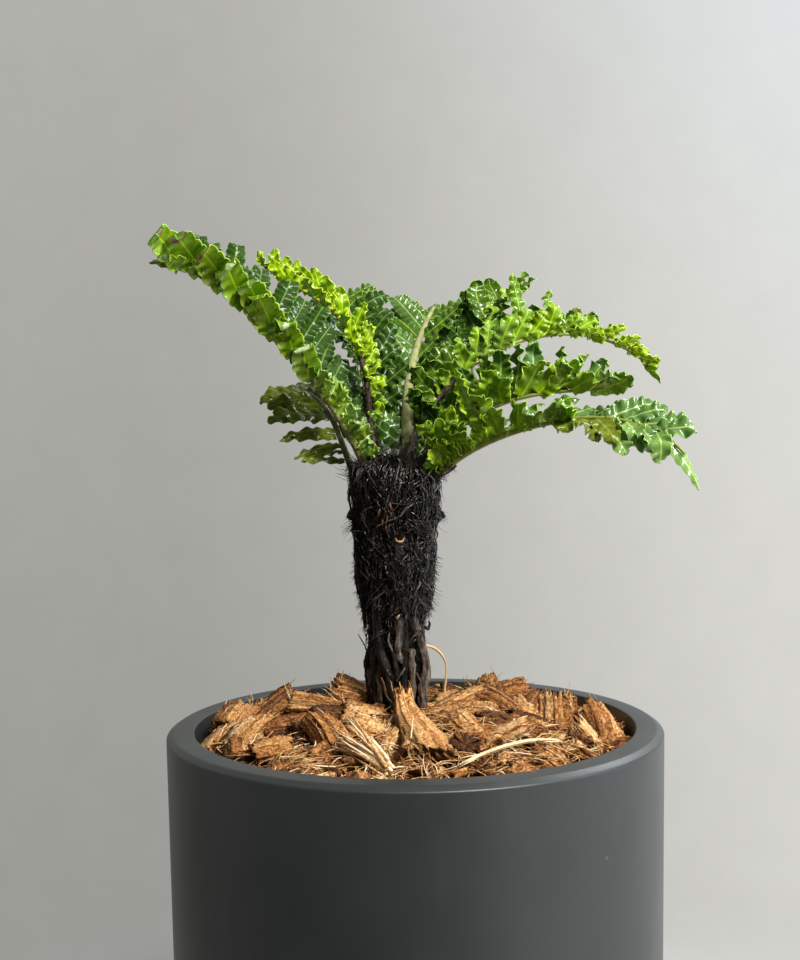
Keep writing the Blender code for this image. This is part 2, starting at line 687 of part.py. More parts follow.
def main():
    """Build the pot, its filling, the trunk and the fronds."""
    for old in list(bpy.data.objects):
        bpy.data.objects.remove(old)
    make_pot(material("matte charcoal", (0.028, 0.030, 0.032, 1.0), 0.55))
    make_mix(material("damp potting mix", (0.05, 0.03, 0.018, 1.0), 0.95))
    make_mulch(material("coconut husk", (0.42, 0.20, 0.08, 1.0), 0.9))
    ribs = []
    for frond in FRONDS:
        rib = Rib(frond)
        ribs.append((rib, socket_share(rib)))
    trunk = make_trunk(ribs, material("black root fibre", (0.012, 0.009, 0.007, 1.0), 0.8))
    taken = Taken()
    corners = [vertex.co.copy() for vertex in trunk.data.vertices]
    trunk_faces = [tuple(face.vertices) for face in trunk.data.polygons]
    taken.add("trunk", corners, BVHTree.FromPolygons(corners, trunk_faces))
    for rib, share in ribs:
        sections = [rib.section(share + (1 - share) * step / RIB_CHECKS)
                    for step in range(RIB_CHECKS + 1)]
        taken.add(rib.frond.name, [corner for ring in sections for corner in ring],
                  shell_tree(sections))
    for rib, share in ribs:
        green = material(rib.frond.name + " green", rib.frond.colour, 0.45)
        make_frond(rib.frond, rib, share + GAP / rib.length, taken, green)


main()
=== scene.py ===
"""Looks of the potted dwarf tree fern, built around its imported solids.

Everything is in metres in the solids' own frame: the origin is the centre of the pot's underside,
+Z is up and -Y is the side towards the camera. Each class below makes one part of the plant or of
the studio, and the lengths in the tables are in millimetres.
"""
import logging
import math
from dataclasses import dataclass
from enum import Enum
from typing import Any, Sequence

import bpy
import numpy as np
from mathutils import Matrix, Vector


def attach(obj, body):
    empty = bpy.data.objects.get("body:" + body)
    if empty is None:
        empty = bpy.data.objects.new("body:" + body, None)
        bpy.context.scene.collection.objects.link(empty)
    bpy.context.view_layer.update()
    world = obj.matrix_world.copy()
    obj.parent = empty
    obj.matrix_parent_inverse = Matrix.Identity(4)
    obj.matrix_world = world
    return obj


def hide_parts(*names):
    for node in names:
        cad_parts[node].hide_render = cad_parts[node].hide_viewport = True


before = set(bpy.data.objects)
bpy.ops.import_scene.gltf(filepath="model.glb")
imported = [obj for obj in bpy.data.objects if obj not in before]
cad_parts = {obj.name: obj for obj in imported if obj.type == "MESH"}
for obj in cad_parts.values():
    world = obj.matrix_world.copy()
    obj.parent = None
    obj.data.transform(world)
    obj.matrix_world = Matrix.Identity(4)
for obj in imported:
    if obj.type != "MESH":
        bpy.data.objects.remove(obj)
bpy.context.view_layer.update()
LOG = logging.getLogger("dwarf tree fern")
ROOT_BODY = "root"
MM = 0.001
GOLDEN_ANGLE = math.radians(137.5)
UP = np.array([0.0, 0.0, 1.0])
FIBRE_OUTWARD = (0.05, 0.03, 1.0)
Triple = tuple[float, float, float]
Span = tuple[float, float]


class Sock:
    """An output socket of a shader node, so that its maths reads as a Python expression."""

    def __init__(self, graph: "Graph", socket: bpy.types.NodeSocket) -> None:
        """Wrap a socket of a graph."""
        self.graph, self.socket = graph, socket

    def _maths(self, operation: str, *values: Any) -> "Sock":
        """The result of a Math node on the values."""
        return self.graph.output(0, "ShaderNodeMath", {"operation": operation}, dict(enumerate(values)))

    def __add__(self, other: Any) -> "Sock":
        """The sum of two values."""
        return self._maths("ADD", self, other)

    def __sub__(self, other: Any) -> "Sock":
        """The difference of two values."""
        return self._maths("SUBTRACT", self, other)

    def __rsub__(self, other: Any) -> "Sock":
        """A number less this value."""
        return self._maths("SUBTRACT", other, self)

    def __mul__(self, other: Any) -> "Sock":
        """The product of two values."""
        return self._maths("MULTIPLY", self, other)

    __radd__ = __add__
    __rmul__ = __mul__

    def between(self, low: float, high: float) -> "Sock":
        """A smooth step from 0 at the low value to 1 at the high one, which may be the smaller."""
        return self.graph.output("Result", "ShaderNodeMapRange", {"interpolation_type": "SMOOTHSTEP"},
                                 {"Value": self, "From Min": low, "From Max": high})


class Graph:
    """A node tree, with one way of adding any node to it."""

    def __init__(self, tree: bpy.types.NodeTree) -> None:
        """Take an emptied tree."""
        self.tree = tree
        tree.nodes.clear()

    def node(self, kind: str, settings: dict[str, Any] | None = None,
             inputs: dict[Any, Any] | None = None) -> bpy.types.Node:
        """Add a node.

        Args:
            kind: The node's type.
            settings: Its own settings, set before its sockets.
            inputs: The values or links of its sockets, by name or number.

        Returns:
            The node.
        """
        made = self.tree.nodes.new(kind)
        for name, value in (settings or {}).items():
            setattr(made, name, value)
        for key, value in (inputs or {}).items():
            if isinstance(value, Sock):
                self.tree.links.new(value.socket, made.inputs[key])
            else:
                made.inputs[key].default_value = value
        return made

    def output(self, key: int | str, kind: str, settings: dict[str, Any] | None = None,
               inputs: dict[Any, Any] | None = None) -> Sock:
        """One output, by name or number, of a new node."""
        return Sock(self, self.node(kind, settings, inputs).outputs[key])

    def place(self) -> Sock:
        """The point in the object's own frame."""
        return self.output("Object", "ShaderNodeTexCoord")

    def scaled(self, vector: Sock, scale: Triple) -> Sock:
        """A vector with each of its axes scaled."""
        return self.output(0, "ShaderNodeVectorMath", {"operation": "MULTIPLY"}, {0: vector, 1: scale})

    def noise(self, vector: Sock, scale: float, detail: float = 3.0, roughness: float = 0.55) -> Sock:
        """Smooth noise from 0 to 1.

        Args:
            vector: Where it is read.
            scale: Its waves per metre.
            detail: How many finer layers it has.
            roughness: How strong the finer layers are.

        Returns:
            The noise.
        """
        return self.output("Fac", "ShaderNodeTexNoise", None, {
            "Vector": vector, "Scale": scale, "Detail": detail, "Roughness": roughness})

    def specks(self, vector: Sock, scale: float) -> Sock:
        """The distance to the nearest of some scattered points."""
        return self.output("Distance", "ShaderNodeTexVoronoi", None, {"Vector": vector, "Scale": scale})

    def mixed(self, share: Any, first: Any, second: Any) -> Sock:
        """A colour that lies at a share of the way from a first colour to a second one."""
        ends = [end if isinstance(end, Sock) else (*end, 1.0) for end in (first, second)]
        return self.output(2, "ShaderNodeMix", {"data_type": "RGBA"}, {0: share, 6: ends[0], 7: ends[1]})

    def bump(self, height: Sock, distance: float, strength: float = 1.0) -> Sock:
        """A normal tilted by a height."""
        return self.output("Normal", "ShaderNodeBump", None, {
            "Height": height, "Distance": distance, "Strength": strength})

    def finish(self, shader: bpy.types.Node, kind: str = "ShaderNodeOutputMaterial") -> None:
        """Send a shader to the tree's end, of the kind that a material or a world has."""
        self.node(kind, None, {"Surface": Sock(self, shader.outputs[0])})


@dataclass(frozen=True)
class Finish:
    """A surface: two close colours mottled together, its gloss and its fine relief."""

    name: str
    colour: Triple
    second: Triple
    grain: float = 400.0
    rough: Span = (0.45, 0.6)
    relief: float = 0.00008
    specular: float = 0.5
    stretch: Triple = (1.0, 1.0, 1.0)

    def material(self) -> bpy.types.Material:
        """The material of this finish, made once."""
        known = bpy.data.materials.get(self.name)
        if known:
            return known
        made = bpy.data.materials.new(self.name)
        made.use_nodes = True
        made.diffuse_color = (*self.colour, 1.0)
        graph = Graph(made.node_tree)
        graph.finish(self.shader(graph))
        return made

    def shader(self, graph: Graph) -> bpy.types.Node:
        """The shader of this finish.

        Args:
            graph: The tree that it is added to.

        Returns:
            The Principled node.
        """
        where = graph.scaled(graph.place(), self.stretch)
        mottle = graph.noise(where, self.grain)
        fine = graph.noise(where, self.grain * 4, 2.0)
        return graph.node("ShaderNodeBsdfPrincipled", None, {
            "Base Color": graph.mixed(mottle.between(0.3, 0.7), self.colour, self.second),
            "Roughness": mottle * (self.rough[1] - self.rough[0]) + self.rough[0],
            "Specular IOR Level": self.specular,
            "Normal": graph.bump(mottle + fine * 0.5, self.relief),
        })


@dataclass(frozen=True)
class LeafFinish(Finish):
    """A living surface: waxy, with light that soaks a little way into it."""

    soak: float = 0.2
    soak_depth: float = 1.2 * MM
    soak_colour: Triple = (0.35, 0.8, 0.08)

    def shader(self, graph: Graph) -> bpy.types.Node:
        """The plain shader with a soft depth to it."""
        made = super().shader(graph)
        made.inputs["Subsurface Weight"].default_value = self.soak
        made.inputs["Subsurface Radius"].default_value = self.soak_colour
        made.inputs["Subsurface Scale"].default_value = self.soak_depth
        return made


@dataclass(frozen=True)
class PotFinish(Finish):
    """Matte charcoal with dust, a few pale specks and faint handling marks."""

    dust: Triple = (0.12, 0.12, 0.115)
    speck_spacing: float = 90.0

    def shader(self, graph: Graph) -> bpy.types.Node:
        """The matte shader with its dust laid over it.

        Args:
            graph: The tree that it is added to.

        Returns:
            The Principled node.
        """
        where = graph.place()
        cloud = graph.noise(where, 14.0, 5.0, 0.6)
        fine = graph.noise(where, 900.0, 2.0)
        smudge = graph.noise(graph.scaled(where, (1.0, 1.0, 0.35)), 38.0, 4.0, 0.65)
        speck = graph.specks(where, self.speck_spacing).between(0.055, 0.03)
        some = graph.noise(where, 21.0, 1.0).between(0.5, 0.62)
        tint = graph.mixed(cloud.between(0.3, 0.7), self.colour, self.second)
        dusty = smudge.between(0.55, 0.8) * 0.14 + speck * some * 0.85
        low, high = self.rough
        return graph.node("ShaderNodeBsdfPrincipled", None, {
            "Base Color": graph.mixed(dusty, tint, self.dust),
            "Roughness": smudge * (high - low) + low + speck * some * 0.2,
            "Specular IOR Level": self.specular,
            "Normal": graph.bump(fine + cloud * 0.4, self.relief, 0.6),
        })


@dataclass(frozen=True)
class FloorFinish(Finish):
    """The pale floor, which thins out to nothing away from the pot."""

    solid_to: float = 0.09
    gone_at: float = 0.27

    def shader(self, graph: Graph) -> bpy.types.Node:
        """The floor's shader, with its alpha falling off with the distance from the pot."""
        made = super().shader(graph)
        level = graph.scaled(graph.place(), (1.0, 1.0, 0.0))
        out = graph.output("Value", "ShaderNodeVectorMath", {"operation": "LENGTH"}, {0: level})
        graph.tree.links.new(out.between(self.gone_at, self.solid_to).socket, made.inputs["Alpha"])
        return made


def unit(vectors: np.ndarray) -> np.ndarray:
    """Vectors of length 1."""
    return vectors / np.maximum(np.linalg.norm(vectors, axis=-1, keepdims=True), 1e-12)


def polar(radius: Any, bearing: Any, height: Any) -> np.ndarray:
    """Points by their distance from the Z axis, their bearing round it and their height."""
    return np.stack(np.broadcast_arrays(radius * np.cos(bearing), radius * np.sin(bearing), height), -1)


def boxy(angle: np.ndarray) -> np.ndarray:
    """How far a rounded square reaches at an angle, as a share of half its side."""
    return (np.abs(np.cos(angle)) ** 5 + np.abs(np.sin(angle)) ** 5) ** -0.2


def round_angles(sides: int) -> np.ndarray:
    """The angles of a ring of evenly spaced points."""
    return np.arange(sides) * math.tau / sides


def turned(first: Any, second: Any, angle: Any) -> tuple[Any, Any]:
    """Two ways at right angles, both turned by an angle, the first towards the second."""
    cosine, sine = np.cos(angle), np.sin(angle)
    return first * cosine + second * sine, second * cosine - first * sine


def beside(path: np.ndarray, side: np.ndarray, above: np.ndarray, right: np.ndarray,
           up: np.ndarray) -> np.ndarray:
    """Points beside each point of a path.

    Args:
        path: The points of the path.
        side: The way to the side at each of them.
        above: The way up at each of them.
        right: How far to the side each new point is, one row for each point of the path.
        up: How far up each new point is, in the same order.

    Returns:
        The new points, one row for each point of the path.
    """
    return (path[..., None, :] + side[..., None, :] * right[..., None]
            + above[..., None, :] * up[..., None])


def frame_along(path: np.ndarray, side: np.ndarray) -> tuple[np.ndarray, np.ndarray]:
    """The ways across a path and above it at each of its points.

    Args:
        path: The path.
        side: Roughly the way across it.

    Returns:
        Two rows of ways, square to the path and to each other.
    """
    tangent = unit(np.gradient(path, axis=0))
    side = unit(side - tangent * np.sum(side * tangent, axis=1, keepdims=True))
    return side, np.cross(tangent, side)


def read(where: Any, known: np.ndarray, points: np.ndarray) -> np.ndarray:
    """The points of a path, read between the known places along it."""
    return np.stack([np.interp(where, known, column) for column in points.T], -1)


def smooth_step(low: float, high: float, value: np.ndarray) -> np.ndarray:
    """0 below the low value, 1 above the high one, and a smooth step between them."""
    share = np.clip((value - low) / (high - low), 0.0, 1.0)
    return share * share * (3 - 2 * share)


def blend(values: Sequence[Any], share: Any) -> Any:
    """The smooth curve through evenly spaced values, read at shares of its length.

    Args:
        values: What the curve runs through: numbers or points.
        share: Where it is read, from 0 to 1; a column of shares where the values are points.

    Returns:
        The curve's value there.
    """
    last = len(values) - 1
    total = 0.0
    for index, value in enumerate(values):
        weight = 1.0
        for other in range(len(values)):
            if other != index:
                weight = weight * (share * last - other) / (index - other)
        total = total + value * weight
    return total


def drawn_aside(start: np.ndarray, corner: np.ndarray, end: np.ndarray, share: Any) -> np.ndarray:
    """The points at shares of the curve from a start to an end that a corner draws aside."""
    return start * (1 - share) ** 2 + corner * 2 * share * (1 - share) + end * share ** 2


def smooth_path(points: Sequence[Triple], steps: int) -> np.ndarray:
    """A smooth path in metres through points in millimetres."""
    return blend(np.array(points), np.linspace(0, 1, steps)[:, None]) * MM


def arcs(start: np.ndarray, way: np.ndarray, bend: np.ndarray, steps: int) -> np.ndarray:
    """Paths that bend aside as they go.

    Args:
        start: Where each starts.
        way: How far it would run, and which way, without the bend.
        bend: How far its end is bent aside.
        steps: How many points each has.

    Returns:
        The paths, of shape (paths, steps, 3).
    """
    share = np.linspace(0, 1, steps)[:, None]
    return start[:, None] + share * way[:, None] + share ** 2 * bend[:, None]


def grid_faces(rows: int, columns: int, first: int = 0, closed: bool = False) -> np.ndarray:
    """The quads of a grid of points, counted row by row.

    Args:
        rows: How many rows of points.
        columns: How many points in a row.
        first: The number of the first point.
        closed: Whether the last column joins the first.

    Returns:
        The quads, of shape (rows - 1, strips, 4).
    """
    strips = columns if closed else columns - 1
    row, column = np.meshgrid(np.arange(rows - 1), np.arange(strips), indexing="ij")
    after = (column + 1) % columns
    return first + np.stack([row * columns + column, row * columns + after,
                             (row + 1) * columns + after, (row + 1) * columns + column], -1)


class Draft:
    """The points, faces and face finishes of a piece while it is being built."""

    def __init__(self) -> None:
        """Start empty."""
        self.clear()

    def clear(self) -> None:
        """Forget what was added."""
        self.points: list[np.ndarray] = []
        self.faces: list[np.ndarray] = []
        self.finishes: list[np.ndarray] = []
        self.count = 0

    def add_points(self, points: np.ndarray) -> int:
        """Add points of shape (..., 3) and say what number the first one has."""
        self.points.append(np.asarray(points, float).reshape(-1, 3))
        self.count += len(self.points[-1])
        return self.count - len(self.points[-1])

    def add_faces(self, faces: np.ndarray, finish: Any = 0) -> None:
        """Add faces of one size.

        Args:
            faces: The point numbers, one row for each face.
            finish: One finish number for all of them, or one for each.
        """
        rows = np.asarray(faces, np.int64)
        rows = rows.reshape(-1, rows.shape[-1])
        self.faces.append(rows)
        self.finishes.append(np.broadcast_to(np.asarray(finish, np.int64).reshape(-1), (len(rows),)))

    def add_skins(self, rings: np.ndarray, finish: Any = 0, ends: Any = (0, 0), way: int = 1) -> None:
        """Add closed skins through rings of points, each with a flat cap at both ends.

        Args:
            rings: The points, of shape (skins, rings, sides, 3).
            finish: The finish numbers of the quads, where they differ by skin and by quad.
            ends: The finish numbers of the first caps and of the last ones.
            way: 1 where the rings turn right-handed about the way that the skin runs, else -1.
        """
        skins, rows, sides, _ = rings.shape
        starts = self.add_points(rings) + np.arange(skins)[:, None] * rows * sides
        quads = grid_faces(rows, sides, closed=True)[..., ::way].reshape(1, -1, 4)
        self.add_faces(starts[..., None] + quads, np.broadcast_to(finish, (skins, quads.shape[1])))
        ring = np.arange(sides)
        self.add_faces(starts + ring[::-way], ends[0])
        self.add_faces(starts + (rows - 1) * sides + ring[::way], ends[1])

    def add_drawn_in(self, rings: np.ndarray, centres: np.ndarray, finish: Any = 0, ends: Any = 0) -> None:
        """Add a closed skin through rings of points, drawn in to a point at each end.

        Args:
            rings: The points, of shape (rings, sides, 3).
            centres: The points that the first and the last ring are drawn in to.
            finish: The finish number of its quads, or one for each.
            ends: The finish number of its ends, or one for each side.
        """
        rows, sides, _ = rings.shape
        first = self.add_points(rings)
        self.add_faces(grid_faces(rows, sides, first, closed=True), finish)
        centre = self.add_points(centres)
        ring = np.arange(sides)
        after = (ring + 1) % sides
        last = first + (rows - 1) * sides
        for middle, one, other in ((centre, first + after, first + ring),
                                   (centre + 1, last + ring, last + after)):
            self.add_faces(np.stack([np.full(sides, middle), one, other], -1), ends)

    def add_tubes(self, paths: np.ndarray, radii: np.ndarray, sides: int, outward: Any,
                  finish: Any = 0, rough: Any = 1.0) -> None:
        """Add closed tubes along many paths at once.

        Args:
            paths: Their middle points, of shape (tubes, points, 3).
            radii: Their radii, of shape (tubes, points).
            sides: How many sides each has.
            outward: A direction that the paths don't run along, for one tube, all or each point.
            finish: One finish number, or one for each tube.
            rough: How far each point of a ring lies from its middle, as a share of the radius.
        """
        tangent = unit(np.gradient(paths, axis=1))
        side = unit(np.cross(tangent, np.broadcast_to(outward, paths.shape)))
        angles = round_angles(sides)
        reach = radii[:, :, None] * rough
        rings = beside(paths, side, np.cross(side, tangent), np.cos(angles) * reach,
                       np.sin(angles) * reach)
        number = np.broadcast_to(np.asarray(finish).reshape(-1, 1), (len(paths), 1))
        self.add_skins(rings, number, (number, number), -1)

    def piece(self, name: str, finishes: Sequence[Finish], slot: str,
              replaces: Sequence[str] = ()) -> None:
        """Make the object, dress it and set it on the plant's body, and start empty again.

        Args:
            name: The piece's name.
            finishes: What its finish numbers stand for.
            slot: The material slot that it would take after; not used.
            replaces: The solids that it stands for.
        """
        mesh = bpy.data.meshes.new(name)
        mesh.vertices.add(self.count)
        mesh.vertices.foreach_set("co", np.concatenate(self.points).astype(np.float32).ravel())
        sizes = np.concatenate([np.full(len(rows), rows.shape[1]) for rows in self.faces])
        corners = np.concatenate([rows.ravel() for rows in self.faces])
        mesh.loops.add(len(corners))
        mesh.loops.foreach_set("vertex_index", corners.astype(np.int32))
        mesh.polygons.add(len(sizes))
        starts = np.concatenate([[0], np.cumsum(sizes)[:-1]])
        mesh.polygons.foreach_set("loop_start", starts.astype(np.int32))
        mesh.polygons.foreach_set("material_index", np.concatenate(self.finishes).astype(np.int32))
        mesh.polygons.foreach_set("use_smooth", np.ones(len(sizes), bool))
        mesh.update(calc_edges=True)
        mesh.validate()
        made = bpy.data.objects.new(name, mesh)
        bpy.context.scene.collection.objects.link(made)
        for finish in finishes:
            mesh.materials.append(finish.material())
        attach(made, ROOT_BODY)
        if replaces:
            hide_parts(*replaces)
        LOG.info("%s: %d triangles", name, int((sizes - 2).sum()))
        self.clear()


@dataclass
class Pot:
    """The straight-sided pot, and the damp mix inside it."""

    height: float = 140 * MM
    radius: float = 75 * MM
    taper: float = 0.017
    bevel_height: float = 1.3 * MM
    rim_radius: float = 73 * MM
    inner_radius: float = 66.8 * MM
    floor: float = 8 * MM
    foot_round: float = 3 * MM
    edge_round: float = 0.45 * MM
    round_steps: int = 4
    sides: int = 256

    def inner_wall(self, height: float) -> float:
        """The radius of the inner wall at a height."""
        return self.inner_radius - self.taper * (self.height - height)

    def build(self) -> None:
        """Make the pot and dress the mix."""
        side_top = self.height - self.bevel_height
        foot = self.radius - self.taper * side_top
        corners = [(0.0, 0.0), (foot - self.foot_round, 0), (foot, self.foot_round),
                   (self.radius, side_top), (self.rim_radius, self.height),
                   (self.inner_radius, self.height),
                   (self.inner_wall(self.floor), self.floor), (0.0, self.floor)]
        outline = self.rounded(np.array(corners))
        draft = Draft()
        draft.add_drawn_in(polar(outline[:, :1], round_angles(self.sides), outline[:, 1:]),
                           np.array([[0, 0, 0.0], [0, 0, self.floor]]))
        draft.piece("pot_shell", [CHARCOAL], "pot", ["pot"])
        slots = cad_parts["potting_mix"].data.materials
        slots.clear()
        slots.append(DAMP_MIX.material())

    def rounded(self, corners: np.ndarray) -> np.ndarray:
        """The corners of a profile rounded, without its two ends.

        Args:
            corners: Its (radius, height) points.

        Returns:
            The new points.
        """
        made: list[np.ndarray] = []
        for before, corner, after in zip(corners, corners[1:], corners[2:]):
            back, on = before - corner, after - corner
            reach = min(self.edge_round, np.linalg.norm(back) / 2, np.linalg.norm(on) / 2)
            share = np.arange(self.round_steps + 1)[:, None] / self.round_steps
            start, end = corner + unit(back) * reach, corner + unit(on) * reach
            made.append(drawn_aside(start, corner, end, share))
        return np.concatenate(made)


CHARCOAL = PotFinish("matte_charcoal", (0.016, 0.019, 0.0192), (0.0225, 0.0265, 0.0268), 500,
                     (0.34, 0.5), 0.00002)
DAMP_MIX = Finish("damp_potting_mix", (0.03, 0.018, 0.01), (0.075, 0.045, 0.025), 300,
                  (0.8, 0.95), 0.0006)
HUSK_TINTS = tuple(Finish("husk_" + name, colour, second, grain, rough, relief, specular)
                   for name, colour, second, grain, rough, relief, specular in (
    ("bark_brown", (0.034, 0.013, 0.006), (0.17, 0.072, 0.029), 1300, (0.8, 0.95), 0.0005, 0.2),
    ("rust", (0.07, 0.024, 0.006), (0.4, 0.156, 0.044), 1300, (0.78, 0.93), 0.0005, 0.2),
    ("orange_brown", (0.15, 0.054, 0.015), (0.64, 0.275, 0.082), 1300, (0.75, 0.92), 0.0005, 0.2),
    ("tan", (0.26, 0.108, 0.033), (0.81, 0.435, 0.155), 1300, (0.72, 0.9), 0.0004, 0.25),
    ("pale", (0.4, 0.2, 0.076), (0.89, 0.58, 0.26), 1300, (0.66, 0.85), 0.0004, 0.3),
    ("straw", (0.76, 0.545, 0.31), (0.9, 0.74, 0.5), 900, (0.55, 0.75), 0.0001, 0.35),
))
STRAW_TINT = len(HUSK_TINTS) - 1
# Near-black dust on the mound: partly its own colour, partly painted shade for the gaps between the chips.
HUSK_DUST_AND_SHADE = Finish("husk_dust_and_shade", (0.006, 0.003, 0.002), (0.03, 0.012, 0.006), 900, (0.85, 0.97),
                   0.0009, 0.05)


class Husk(Enum):
    """The kinds of husk, by the tint that their fibres keep to."""

    BROWN = 0.9
    RUST = 1.7
    ORANGE = 2.3
    TAN = 2.9
    GOLDEN = 3.2
    PALE = 3.9
    STRAW = 4.7

    def tints(self, stray: np.ndarray) -> np.ndarray:
        """The nearest tint for each of some fibres, by how far they stray from the kind's own."""
        return np.clip(np.round(self.value + stray), 0, STRAW_TINT).astype(int)


@dataclass(frozen=True)
class Block:
    """A block of fibres that lie along a line: the line's points, the way across it, its widths
    and depths along it, its kind, the share of its length that the shortest fibres lack at each
    end, and how many fibres show round it."""

    path: np.ndarray
    side: np.ndarray
    widths: np.ndarray
    depths: np.ndarray
    husk: Husk
    fray: float
    sides: int


@dataclass(frozen=True)
class Chip:
    """One block of husk: where its middle is, its size, its angles in degrees and its kind. The
    bend is how far its middle bows out, and the fray how much of each end is teased into points."""

    place: Triple
    size: Triple
    turn: float
    tilt: float
    roll: float
    husk: Husk
    bend: float = 0.0
    fray: float = 0.16

    def block(self, steps: int, sides: int, taper: float) -> Block:
        """The block of fibres that the chip is.

        Args:
            steps: How many rings it has.
            sides: How many fibres show round it.
            taper: Its last width as a share of its first.

        Returns:
            The block, in metres.
        """
        spin = (Matrix.Rotation(math.radians(self.turn), 3, "Z")
                @ Matrix.Rotation(-math.radians(self.tilt), 3, "Y")
                @ Matrix.Rotation(math.radians(self.roll), 3, "X"))
        along, side, up = (np.array(spin.col[index]) for index in range(3))
        share = np.linspace(-1, 1, steps)[:, None]
        line = along * share * self.size[0] / 2 + up * self.bend * (1 - share ** 2)
        return Block((np.array(self.place) + line) * MM, side,
                     self.size[1] * MM * np.linspace(1, taper, steps),
                     np.full(steps, self.size[2] * MM), self.husk, self.fray, sides)


@dataclass(frozen=True)
class Ribbon:
    """A split piece of husk that bends: the points it runs through, its width at each of them, its
    depth, the way across it, its kind and the fray of its ends."""

    points: tuple[Triple, ...]
    widths: tuple[float, ...]
    depth: float
    side: Triple
    husk: Husk
    fray: float

    def block(self, steps: int = 16, sides: int = 48) -> Block:
        """The block of fibres that the ribbon is, in metres."""
        known = np.linspace(0, 1, len(self.widths))
        widths = np.interp(np.linspace(0, 1, steps), known, self.widths) * MM
        return Block(smooth_path(self.points, steps), np.array(self.side), widths,
                     np.full(steps, self.depth * MM), self.husk, self.fray, sides)


@dataclass(frozen=True)
class Heap:
    """A lot of chips strewn evenly over the bed: how many, the spans of their lengths, widths and
    depths and of their middles' heights over the mound, how unlike their tilts are, how far they
    roll either way, in degrees, the spans of their bends and frays, how many rings they have, how
    many fibres show round them, and whether they lie low in the clearings."""

    count: int
    lengths: Span
    widths: Span
    depths: Span
    heights: Span
    tilt: float
    roll: float
    bends: Span
    frays: Span
    steps: int
    sides: int
    clears: bool


CHIPS = Heap(150, (9.5, 19), (5.5, 11.5), (3.5, 7.5), (-3.2, 2), 20, 50, (0, 1.4), (0.1, 0.28),
             8, 36, True)
CRUMBS = Heap(100, (3.5, 8), (1.2, 3.4), (0.8, 2.2), (0.6, 3.4), 22, 60, (0.3, 0.3), (0.3, 0.3),
              5, 12, False)
# How likely each kind of husk is.
HUSK_ODDS = (0.2, 0.19, 0.25, 0.2, 0.13, 0.03, 0)
# How likely a patch of a fibre is darker than, like or paler than the rest of it.
COARSE_PATCHES, FINE_PATCHES = (0.16, 0.74, 0.1), (0.07, 0.88, 0.05)
FEATURE_CHIPS = (
    Chip((43, -6, 140.5), (18, 11, 6), 85, 80, 6, Husk.TAN, 0.5, 0.2),
    Chip((54, -9, 138.5), (15, 11.5, 8), 120, 52, 20, Husk.ORANGE, 1.4, 0.14),
    Chip((36, -10, 139), (17, 8.5, 5), 305, -32, 15, Husk.TAN, 0.8, 0.16),
    Chip((25, 4, 142.5), (24, 11, 6), 318, -18, 10, Husk.RUST, 1.4, 0.2),
    Chip((14, 3, 144), (22, 9, 5), 40, 14, -18, Husk.GOLDEN, 0.9, 0.16),
    Chip((31, 25, 142), (15, 9, 6), 20, 10, 10, Husk.RUST, 0.6, 0.18),
    Chip((-20, 6, 145.5), (14, 10, 7.5), 160, 20, 0, Husk.ORANGE, 0.8, 0.3),
    Chip((-31, 4, 143), (17, 9.5, 6), 172, 8, 24, Husk.TAN, 0.8, 0.12),
    Chip((-44, 12, 142), (19, 9, 3), 40, 28, 30, Husk.BROWN, 0.5, 0.14),
    Chip((-55, 6, 138), (13, 11, 8), 75, 10, 10, Husk.ORANGE, 1.5, 0.12),
    Chip((-49, -16, 139), (15, 12, 6), 60, 20, -14, Husk.GOLDEN, 1, 0.2),
    Chip((-37, -14, 140.5), (15, 9, 6), 8, 6, 20, Husk.BROWN, 0.8, 0.14),
    Chip((-25, -28, 141.5), (18, 9, 6), 300, -22, -20, Husk.ORANGE, 1.2, 0.16),
    Chip((-40, -33, 138), (11, 8, 6), 20, 6, 10, Husk.ORANGE, 0.8, 0.14),
    Chip((13, -38, 139.5), (12, 8, 5), 100, -40, 30, Husk.BROWN, 0.6, 0.16),
    Chip((6, -12, 141.5), (16, 8, 4), 20, 8, 0, Husk.RUST, 0.5, 0.18),
)
FEATURE_RIBBONS = (
    Ribbon(((-3.6, -14.6, 153.6), (-2.8, -16.6, 148.4), (-0.8, -23.5, 145.4), (2.4, -34, 143.4),
            (5, -48.5, 141)), (5.2, 6, 8.6, 11.4, 13.6), 2, (1, 0.3, 0.1), Husk.TAN, 0.1),
    Ribbon(((20, -37, 137.5), (20.6, -37.6, 141.5), (22.6, -37, 143.2), (24.6, -35.5, 141.2)),
           (4.2, 4.6, 4.4, 3.6), 1.4, (0.3, 0.9, 0), Husk.TAN, 0.2),
    Ribbon(((-41, -38, 137.6), (-35, -40.5, 139.2), (-27, -42, 138.4)), (0.9, 1.2, 0.8),
           0.7, (0.2, 1, 0.2), Husk.PALE, 0.2),
    Ribbon(((10.5, -54.5, 139.4), (19, -46, 141.2), (28, -38, 141.8), (36, -31, 141),
            (42.5, -26, 139.4)), (1.5, 1.2, 1, 0.7, 0.4), 0.8, (0.5, -0.6, 0.6), Husk.STRAW, 0.1),
    Ribbon(((-8.6, -20, 142), (-6.5, -19.4, 145), (-4.2, -18.5, 147.6)), (1.2, 1.2, 1),
           0.9, (0.5, -0.8, -0.2), Husk.STRAW, 0.1),
)
# Where strewn chips lie low, so that what stands out isn't buried: x, y and radius.
CLEARINGS = ((-1, -19, 8), (3, -34, 11), (5, -49, 10), (-12, -46, 11),
             (15, -50, 8), (22, -38, 9), (43, -10, 9), (-20, -20, 7))
